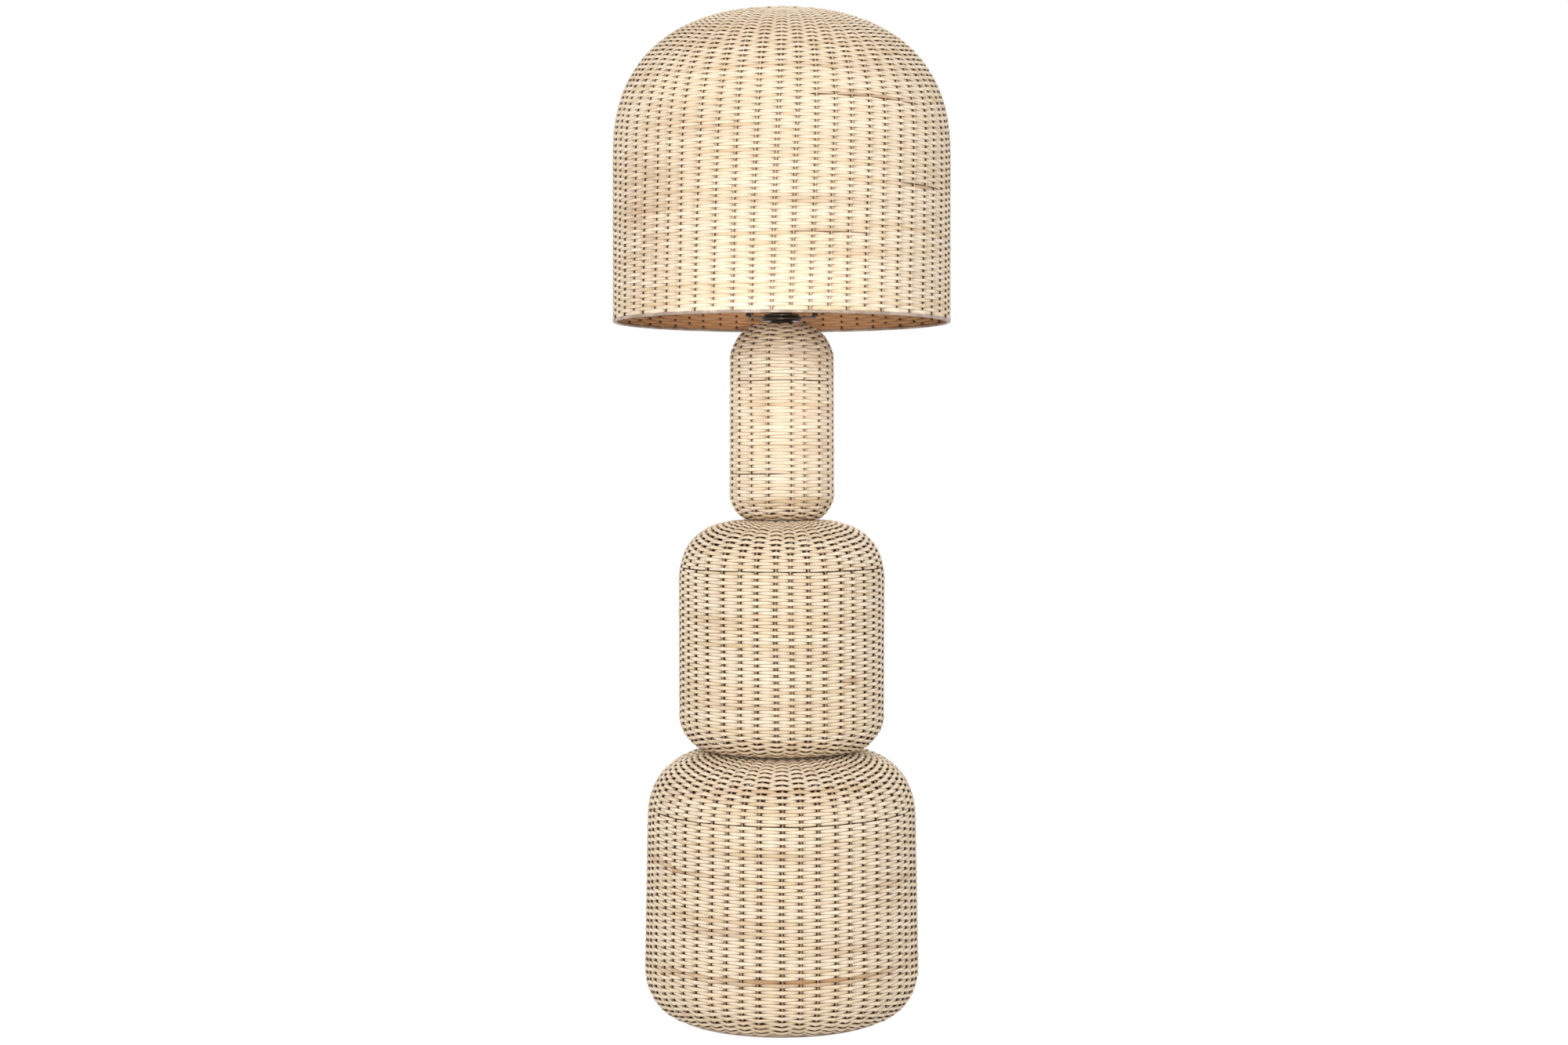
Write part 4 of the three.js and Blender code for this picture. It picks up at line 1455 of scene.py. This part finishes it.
@dataclass
class Harp:
    """Saddle, bow, locking sleeves and the swivel stud."""

    half_width: float = 50
    saddle_bottom: float = 1040.6
    saddle_top: float = 1042.2
    post_top: float = 1051.2
    foot: float = 1051.5
    rise: float = 240.8
    wire: float = 2.4
    shares: Sequence[tuple[float, float]] = (
        (1, 0), (1, 0.06), (1, 0.12), (1.08, 0.26), (1.14, 0.45),
        (1.08, 0.65), (0.82, 0.84), (0.42, 0.96), (0, 1),
    )

    def build(self) -> None:
        """Builds the five pieces."""
        self.build_saddle()
        self.build_bow()
        for name, body, side in (("left", Body.SLEEVE_LEFT, -1), ("right", Body.SLEEVE_RIGHT, 1)):
            self.build_sleeve(name, body, side)
        self.build_stud()

    def build_saddle(self) -> None:
        """Builds the strip with its posts."""
        low, top = self.saddle_bottom, self.saddle_top
        shapes = [washer(BORE, 12, low, top, 64, 0.3)]
        for side in (-1, 1):
            inner, outer = sorted((side * 8, side * (self.half_width + 1.2)))
            shapes.append(block((inner, -6, low), (outer, 6, top), 0.5))
            post = self.half_width * side
            shapes.append(block((post - 1.2, -2, low), (post + 1.2, 2, self.post_top), 0.4))
        deliver("saddle", settled(gathered(shapes)), Body.STAND, BRONZE, "harp_saddle")

    def bow_path(self, steps: int = 7) -> list[Vector]:
        """Bends a smooth line through the bow's corners.

        Args:
            steps: points from one corner to the next.

        Returns:
            Points from one foot over the top to the other.
        """
        half = [Vector((x * self.half_width, 0, self.foot + z * self.rise)) for x, z in self.shares]
        corners = half + [Vector((-p.x, 0, p.z)) for p in reversed(half[:-1])]
        corners = [2 * corners[0] - corners[1], *corners, 2 * corners[-1] - corners[-2]]
        points = []
        for a, b, c, d in zip(corners, corners[1:], corners[2:], corners[3:]):
            linear, square, cube = c - a, 2 * a - 5 * b + 4 * c - d, 3 * b - a - 3 * c + d
            for t in (step / steps for step in range(steps)):
                points.append(0.5 * (2 * b + linear * t + square * t**2 + cube * t**3))
        return [*points, corners[-2]]

    def build_bow(self) -> None:
        """Builds the bent wire and its boss."""
        points = self.bow_path()
        middle = len(points) // 2
        shapes = [
            swept(points[:middle - 1], round_section(self.wire)),
            swept(points[-middle + 1:], round_section(self.wire)),
            washer(3.6, 8, 1288.3, 1296.3, 48, 0.8),
        ]
        deliver("bow", settled(gathered(shapes)), Body.STAND, BRONZE, "harp_bow")

    def build_sleeve(self, name: str, body: Body, side: int) -> None:
        """Builds one locking sleeve with a rolled foot.

        Args:
            name: left or right.
            body: the CAD body that it rides on.
            side: -1 for the left and 1 for the right.
        """
        corners = [
            (2.9, 1042.5), (4.3, 1042.5), (4.3, 1044.5), (3.9, 1045.0), (3.9, 1058.0),
            (4.3, 1058.5), (4.3, 1060.5), (2.9, 1060.5),
        ]
        sleeve = turned(corners, 40, 0.25)
        place = Matrix.Translation((side * self.half_width, 0, 0))
        deliver(f"sleeve_{name}", settled(moved(sleeve, place)), body, BRONZE, f"harp_sleeve_{name}")

    def build_stud(self) -> None:
        """Builds the rivet head, seat and threaded end."""
        threads = [(3.1 - 0.35 * (i % 2), 1299.4 + 0.55 * i) for i in range(23)]
        corners = [
            (0, 1286), (6, 1286), (6, 1288), (3.1, 1288), (3.1, 1296.6), (11, 1296.6), (11, 1298.6),
            (3.1, 1298.6), *threads, (2.6, 1312.6), (0, 1312.6),
        ]
        stud = turned(corners, 40)
        eased(stud, 0.25, 60, 2)
        deliver("stud", settled(stud), Body.SWIVEL, BRASS, "harp_stud")


@dataclass
class LampHolder:
    """Disc, cap and shell of the lamp holder."""

    disc_radius: float = 26.5
    cap_radius: float = 18.1
    shell_radius: float = 16.6
    shell_top: float = 1105.3

    def build(self) -> None:
        """Builds the three visible pieces."""
        disc = washer(BORE, self.disc_radius, 1042.5, 1045.5, 96, 0.6)
        deliver("holder_plate", settled(disc), Body.STAND, BRONZE, "holder_disc")
        edge = self.cap_radius
        cap = turned([
            (BORE, 1045.8), (15.5, 1045.8), (17.2, 1046.6), (edge, 1048.4), (edge, 1056.0),
            (17.8, 1056.8), (16.9, 1056.8), (16.9, 1047.0), (BORE, 1047.0),
        ], 72)
        eased(cap, 0.15, 30, 1)
        deliver("holder_cup", settled(cap), Body.STAND, BRASS, "holder_cap")
        edge = self.shell_radius
        bead = [(edge - 0.35 * math.sin(math.pi * i / 4) ** 2, 1084 + i) for i in range(9)]
        shell = turned([
            (15.6, 1047.3), (edge, 1047.3), *bead, (edge, 1103.4), (16.5, 1104.6),
            (16.1, self.shell_top), (15.6, 1105.0),
        ], 72)
        bush = moved(washer(2.7, 4.6, 16.4, 17.9, 32, 0.3), facing_back(0, SWITCH_LEVEL))
        deliver("holder_sleeve", settled(gathered([shell, bush])), Body.STAND, BRASS, "holder_shell")


@dataclass
class Switch:
    """Rotary switch at the back of the holder."""

    spindle_radius: float = 2.5
    spindle_end: float = 27.3
    knob_radius: float = 7
    knob_end: float = 30.6

    def build(self) -> None:
        """Builds the spindle and the fluted knob."""
        place = facing_back(0, SWITCH_LEVEL)
        spindle = moved(washer(0, self.spindle_radius, 6, self.spindle_end, 32, 0.4), place)
        deliver("spindle", settled(spindle), Body.SWITCH, BRASS, "switch_spindle")
        edge, end = self.knob_radius, self.knob_end
        corners = [
            (2.8, 18.6), (edge, 18.6), (edge, 20.2), (6.6, 20.8), (6.9, 22.0), (edge, 29.2),
            (6.6, 30.1), (5.8, end), (0, end), (0, 27.6), (2.8, 27.6),
        ]
        knob = fluted(turned(corners, 96), 6.85, 0.5)
        deliver("knob", settled(moved(knob, place)), Body.SWITCH, MOULDING, "switch_knob")


@dataclass
class Bulb:
    """Contact, threaded cap and frosted glass."""

    cap_bottom: float = 1077.7
    cap_top: float = 1101.7
    cap_radius: float = 13.1
    neck_radius: float = 11.2
    ball_radius: float = 30
    ball_middle: float = 1151.7
    wall: float = 1.0

    def build(self) -> None:
        """Builds the three pieces."""
        tip = turned([
            (0, 1075.4), (3.2, 1075.4), (4.4, 1075.9), (4.8, 1076.7), (4.8, 1077.4), (0, 1077.4),
        ], 40)
        deliver("bulb_tip", settled(tip), Body.BULB, MOULDING, "bulb_contact")
        span = (self.cap_top - self.cap_bottom - 4) / 32
        threads = [
            (self.cap_radius - 0.35 + 0.35 * math.cos(math.pi * i / 4), self.cap_bottom + 2 + span * i)
            for i in range(33)
        ]
        low, top = self.cap_bottom, self.cap_top
        cap = turned([
            (0, low), (9, low), (12, low + 1.2), *threads, (12.4, top), (11.5, top), (11.5, low + 1.4),
            (0, low + 1.4),
        ], 64)
        deliver("bulb_thread", settled(cap), Body.BULB, STEEL, "bulb_cap")
        glass = turned(self.glass_side(0.0) + self.glass_side(self.wall)[::-1], 96)
        deliver("bulb_ball", settled(glass), Body.BULB, GLASS, "bulb_glass")

    def glass_side(self, inset: float) -> list[Corner]:
        """Draws the glass from its neck to the middle of its top.

        Args:
            inset: depth under its outer face.

        Returns:
            Radius and height of each corner.
        """
        neck = self.neck_radius - inset
        ball = self.ball_radius - inset
        waist = self.cap_top + (self.ball_middle - self.cap_top) / 4
        side = [(neck, self.cap_top - 4)]
        for t in (i / 20 for i in range(21)):
            radius = neck * (1 - t) ** 2 * (1 + 2 * t) + ball * t**2 * (3 - 2 * t)
            low, high = (1 - t) ** 3, t**3
            height = self.cap_top * low + waist * (1 - low - high) + self.ball_middle * high
            side.append((radius, height))
        for angle in (QUARTER_TURN * i / 24 for i in range(1, 24)):
            side.append((ball * math.cos(angle), self.ball_middle + ball * math.sin(angle)))
        return [*side, (0, self.ball_middle + ball)]


@dataclass
class Fitter:
    """Hub with three arms inside the shade, and the finial that holds it."""

    hub_radius: float = 19
    bottom: float = 1298.9
    top: float = 1301.4
    arm_end: float = 247.5

    def build(self) -> None:
        """Builds both pieces."""
        shapes = [washer(3.6, self.hub_radius, self.bottom, self.top, 72, 0.5)]
        for angle in (90, 210, 330):
            arm = block((self.hub_radius - 1.5, -2.5, self.bottom), (self.arm_end, 2.5, self.top), 0.6)
            shapes.append(moved(arm, spun(angle)))
        deliver("fitter", settled(gathered(shapes)), Body.SHADE, WIRE, "shade_fitter")
        corners = [
            (3.6, 1301.7), (8.4, 1301.7), (9, 1302.4), (9, 1308.0), (8.4, 1308.7), (6.6, 1310.6),
            (6, 1312.7), (6.7, 1315.0), (8.6, 1318.6), (9, 1320.2), (8.6, 1321.9), (7.4, 1323.2),
            (5.6, 1323.7), (0, 1323.7), (0, 1315.7), (3.6, 1315.7),
        ]
        finial = fluted(turned(corners, 96), 8.95, 0.4)
        deliver("finial_nut", settled(finial), Body.FINIAL, BRASS, "finial")


@dataclass
class Base:
    """Weighted plate, its pads and the grommet."""

    plate_radius: float = 150
    plate_bottom: float = 5.3
    plate_top: float = 17.3
    pad_circle: float = 110

    def build(self) -> None:
        """Builds the pieces near the floor."""
        edge, low, top = self.plate_radius, self.plate_bottom, self.plate_top
        plate = [
            (BORE, 11.3), (16, 11.3), (16, low), (120, low), (122, 6.6), (140, 6.6), (142, low),
            (edge, low), (edge, top - 2), (edge - 2, top), (26, top), (BORE, top),
        ]
        deliver("base_casting", settled(turned(plate, 128, 0.7)), Body.STAND, IRON, "base_plate")
        for number in range(4):
            angle = math.radians(45 + 90 * number)
            place = (self.pad_circle * math.cos(angle), self.pad_circle * math.sin(angle), 0)
            pad = turned([(0, 1.0), (6, 1.0), (7, 0), (12, 0), (12, 5), (0, 5)], 48, 0.5)
            pad = moved(pad, Matrix.Translation(place))
            deliver(f"pad_{number + 1}", settled(pad), Body.STAND, RUBBER, f"foot_pad_{number + 1}")
        grommet = turned([(3.6, -7), (7, -7), (7, 0.4), (10, 0.4), (10, 2), (3.6, 2)], 48, 0.5)
        low, high = (np.array(corner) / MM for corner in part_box("cord_grommet"))
        grommet = moved(grommet, facing_back(high[1] - 2, (low[2] + high[2]) / 2))
        deliver("grommet", settled(grommet), Body.STAND, RUBBER, "cord_grommet")


class HiddenHardware:
    """CAD pieces that stay as they are and get a fuller finish."""

    FINISHES = {
        "base_nut": STEEL, "holder_nut": STEEL, "lower_tube": STEEL, "middle_tube": STEEL,
        "upper_tube": STEEL, "lower_spacer": STEEL, "middle_spacer": STEEL, "tie_pipe_lower": STEEL,
        "tie_pipe_upper": STEEL, "pipe_coupling": BRASS, "holder_core": MOULDING, "holder_liner": CARD,
        "holder_screw_shell": BRASS, "holder_contact": BRASS,
    }

    def build(self) -> None:
        """Puts the finishes on the CAD nodes."""
        for name, finish in self.FINISHES.items():
            PAINTS.put(bpy.data.objects[name], finish)
            LOG.info("finished %s", name)


@dataclass
class Camera:
    """The photograph's level camera."""

    height: float = 0.837
    distance: float = 3.269
    aside: float = 0.0035
    lens: float = 49.86
    shift: float = -0.04425

    def build(self) -> None:
        """Sets the camera up and makes it the scene's."""
        data = bpy.data.cameras.new("camera")
        data.lens = self.lens
        data.sensor_width = 36.0
        data.shift_y = self.shift
        data.clip_end = 50.0
        camera = bpy.data.objects.new("camera", data)
        camera.location = (self.aside, -self.distance, self.height)
        camera.rotation_euler = (QUARTER_TURN, 0, 0)
        bpy.context.scene.collection.objects.link(camera)
        bpy.context.scene.camera = camera


@dataclass
class Studio:
    """Plain floor, white surroundings and soft lamps."""

    floor_size: float = 9.0
    world_level: float = 0.46
    floor_white: float = 0.97

    def build(self) -> None:
        """Makes the floor, the world and the lamps."""
        self.make_floor()
        self.make_world()
        self.lamp("key", (-1.2, -3.5, 2.8), (0, 0, 0.95), 1.5, 57)
        self.lamp("low_fill", (-0.1, -3.6, 0.8), (0, 0, 1.1), 1.4, 27)
        self.lamp("neck_fill", (0.0, -2.6, 0.7), (0, 0, 0.99), 0.2, 0.075, 9)
        self.lamp("left_fill", (-3.4, -1.2, 1.6), (0, 0, 0.9), 1.8, 15)
        self.lamp("right_fill", (2.6, -2.3, 2.6), (0, 0, 1.4), 1.6, 30)
        self.lamp("back", (0.4, 3.4, 2.4), (0, 0, 0.9), 2.2, 50)

    def make_floor(self) -> None:
        """Makes the floor, which shows as white with a soft shadow."""
        shape = bmesh.new()
        bmesh.ops.create_grid(shape, x_segments=1, y_segments=1, size=self.floor_size / 2)
        bmesh.ops.translate(shape, vec=(0, 0, -0.2 * MM), verts=shape.verts)
        mesh = bpy.data.meshes.new("floor")
        shape.to_mesh(mesh)
        shape.free()
        floor = bpy.data.objects.new("floor", mesh)
        bpy.context.scene.collection.objects.link(floor)
        g = Graph(bpy.data.materials.new("floor_paint"))
        diffuse = g.add("BsdfDiffuse", {"Color": (0.86, 0.86, 0.86)}).outputs[0]
        glow = g.add("Emission", {"Color": (1, 1, 1), "Strength": self.floor_white}).outputs[0]
        faint = g.add("BsdfDiffuse", {"Color": (0.12, 0.12, 0.12)}).outputs[0]
        white = g.add("AddShader", {0: glow, 1: faint}).outputs[0]
        both = g.add("MixShader", {0: self.seen(g), 1: diffuse, 2: white}).outputs[0]
        g.add("OutputMaterial", {"Surface": both})
        floor.data.materials.append(g.owner)

    @staticmethod
    def seen(g: Graph) -> Socket:
        """Tells the rays that see the surroundings from those that light the object.

        Args:
            g: the graph to add to.

        Returns:
            One for camera, glossy and transmission rays, and nought for the others.
        """
        rays = g.add("LightPath").outputs
        first = g.maths("MAXIMUM", rays["Is Camera Ray"], rays["Is Glossy Ray"])
        return g.maths("MAXIMUM", first, rays["Is Transmission Ray"])

    def make_world(self) -> None:
        """Makes a world that looks white and lights the object softly."""
        g = Graph(bpy.data.worlds.new("studio"))
        lit = g.add("Background", {"Color": (1, 1, 1), "Strength": self.world_level}).outputs[0]
        white = g.add("Background", {"Color": (1, 1, 1), "Strength": 1.0}).outputs[0]
        both = g.add("MixShader", {0: self.seen(g), 1: lit, 2: white}).outputs[0]
        g.add("OutputWorld", {"Surface": both})
        bpy.context.scene.world = g.owner

    @staticmethod
    def lamp(
        name: str, place: tuple, aim: tuple, size: float, power: float, spread: float = 180
    ) -> None:
        """Hangs a square soft lamp that points at a place.

        Args:
            name: the lamp's name.
            place: its middle, in metres.
            aim: the place that it points at.
            size: its side, in metres.
            power: its power, in watts.
            spread: its spread, in degrees.
        """
        data = bpy.data.lights.new(name, "AREA")
        data.shape = "SQUARE"
        data.size = size
        data.energy = power
        data.spread = math.radians(spread)
        lamp = bpy.data.objects.new(name, data)
        lamp.location = place
        lamp.rotation_euler = (Vector(aim) - Vector(place)).to_track_quat("-Z", "Y").to_euler()
        bpy.context.scene.collection.objects.link(lamp)


LOWER = Weave(
    "lower",
    Outline(4, 165.5, 60, 1.8, 205.3, 218, 201.6, 111.5, 2.53, 71),
    Stakes(
        50,
        (-51.1, -44.6, -37.3, -30.0, -23.2, -16.2, -9.3,
         0.4, 8.0, 15.2, 23.0, 29.3, 36.5, 43.8, 50.7, 58.9),
        lean=1.0,
        lean_start=0.5,
        seed=11,
    ),
    Body.STAND,
    bands=3,
    seams=(Seam(306, 0.9),),
    opening=(76.0, 180.0, 7.4, 26.0),
    pitch=4.8,
    tails=(1.0, 1.0),
    stains_and_shade=(
        StainAndShade(232, -50, 7, 24, 1.0), StainAndShade(88, 0, 5, 85, 1.0), StainAndShade(215, 60, 7, 22, 0.7),
        StainAndShade(130, 30, 9, 30, 0.4), StainAndShade(155, -25, 9, 30, 0.45), StainAndShade(348, -10, 16, 60, 0.4),
        StainAndShade(262, 5, 7, 40, 0.35), StainAndShade(180, 170, 30, 60, 0.4),
    ),
    seed=21,
)
MIDDLE = Weave(
    "middle",
    Outline(394.5, 116, 45.5, 1.7, 153.8, 201, 154.5, 95, 2.45, 50.5),
    Stakes(
        36,
        (-56.8, -46.4, -34.6, -23.5, -14.4, -3.0, 5.4, 14.9, 24.6, 35.0, 43.8, 53.8, 63.8),
        lean=-1.0,
        lean_start=0.5,
        seed=12,
    ),
    Body.STAND,
    bands=2,
    seams=(Seam(664, 1.1),),
    pitch=4.74,
    tails=(1.0, 1.0),
    stains_and_shade=(
        StainAndShade(505, 42, 5, 5, 1.0), StainAndShade(470, -10, 6, 45, 0.5), StainAndShade(600, -38, 60, 14, 0.2),
        StainAndShade(545, 10, 6, 30, 0.3), StainAndShade(640, 150, 30, 50, 0.4),
    ),
    seed=22,
)
UPPER = Weave(
    "upper",
    Outline(737, 52, 36, 1.6, 78.8, 208, 78.2, 50, 1.6, 38.5),
    Stakes(18, (-57.1, -37.3, -16.0, 11.9, 27.2, 48.2, 65.9), lean=-1.0, lean_start=0.5, seed=13),
    Body.STAND,
    bands=1,
    seams=(Seam(944, 1.1, -60, 60), Seam(807, 1.1, -80, 5)),
    stains_and_shade=(
        StainAndShade(890, -20, 50, 16, 0.45), StainAndShade(860, 10, 60, 50, 0.3),
        StainAndShade(768, 0, 12, 60, 0.4), StainAndShade(985, 0, 10, 70, 0.3),
    ),
    pitch=4.75,
    thickness=1.45,
    wire_radius=1.65,
    inset=2.6,
    deeper=-0.1,
    reed=MID_SHADE_REED,
    stake=LIT_STAKE,
    tails=(1.0, 1.0),
    seed=23,
)
SHADE = Weave(
    "shade",
    Outline(1037.6, 253.5, 0, 2, 253.5, 238.5, 254, 222, 2.42, 9.4),
    Stakes(
        56,
        (-52.3, -46.1, -40.8, -35.5, -29.0, -22.4, -16.0, -9.5, -2.7,
         3.5, 9.6, 15.7, 21.9, 28.2, 34.4, 41.1, 47.5),
        lean=4.5,
        lean_start=0.08,
        seed=14,
    ),
    Body.SHADE,
    bands=4,
    seams=(Seam(1339, 1.1, 9, 53), Seam(1223, 1.0, 42, 65), Seam(1147, 0.8, 3, 29)),
    stains_and_shade=(
        StainAndShade(1180, -52, 130, 20, 0.5), StainAndShade(1300, -30, 40, 40, 0.3), StainAndShade(1190, 5, 8, 40, 0.35),
        StainAndShade(1120, 20, 7, 30, 0.3), StainAndShade(1260, 15, 6, 45, 0.3), StainAndShade(1380, 20, 12, 50, 0.3),
        StainAndShade(1342, 32, 3, 20, 1.0), StainAndShade(1221, 53, 3, 10, 1.0), StainAndShade(1149, 16, 3, 13, 0.9),
        # The last patch is painted shade across the dome's top
        StainAndShade(1440, 0, 40, 90, 0.25),
    ),
    zones=(Zone(104, 2), Zone(52, 4), Zone(20, 28)),
    extra_rows=1,
    flare=0.5,
    inner_face_shade=1.0,
    closer=0.34,
    deeper=-0.12,
    pitch=4.47,
    skirt=1.2,
    widths=(0.61, 0.59, 0.555, 0.575, 0.588),
    thickness=1.35,
    wire_radius=1.65,
    inset=2.6,
    reed=FAINT_SHADE_REED,
    stake=LIT_STAKE,
    first_under=True,
    tails=(2.4, 0.0),
    seed=24,
)


SUB_ASSEMBLIES = (
    Cage(LOWER, 165.5, 1, 9.9, 71, 389.2, 17.6, 4, 22.5, hoop=True),
    Cage(MIDDLE, 116, 394.5, 400.4, 50.5, 731.7, 395.95, 4, 22.5),
    Cage(UPPER, 52, 737, 742.9, 38.5, 1026.7, 738.45, 3, 30),
    ShadeFrame(),
    Neck(),
    Harp(),
    LampHolder(),
    Switch(),
    Bulb(),
    Fitter(),
    Base(),
    HiddenHardware(),
)


def build_lamp() -> None:
    """Builds every piece in order."""
    Camera().build()
    Studio().build()
    for weave in (LOWER, MIDDLE, UPPER, SHADE):
        LOG.info("%s body: %d pieces", weave.name, len(weave.build()))
    for sub_assembly in SUB_ASSEMBLIES:
        sub_assembly.build()
    view = bpy.context.scene.view_settings
    view.view_transform = "Standard"


if __name__ == "__main__":
    logging.basicConfig(level=logging.INFO, format="%(message)s")
    build_lamp()
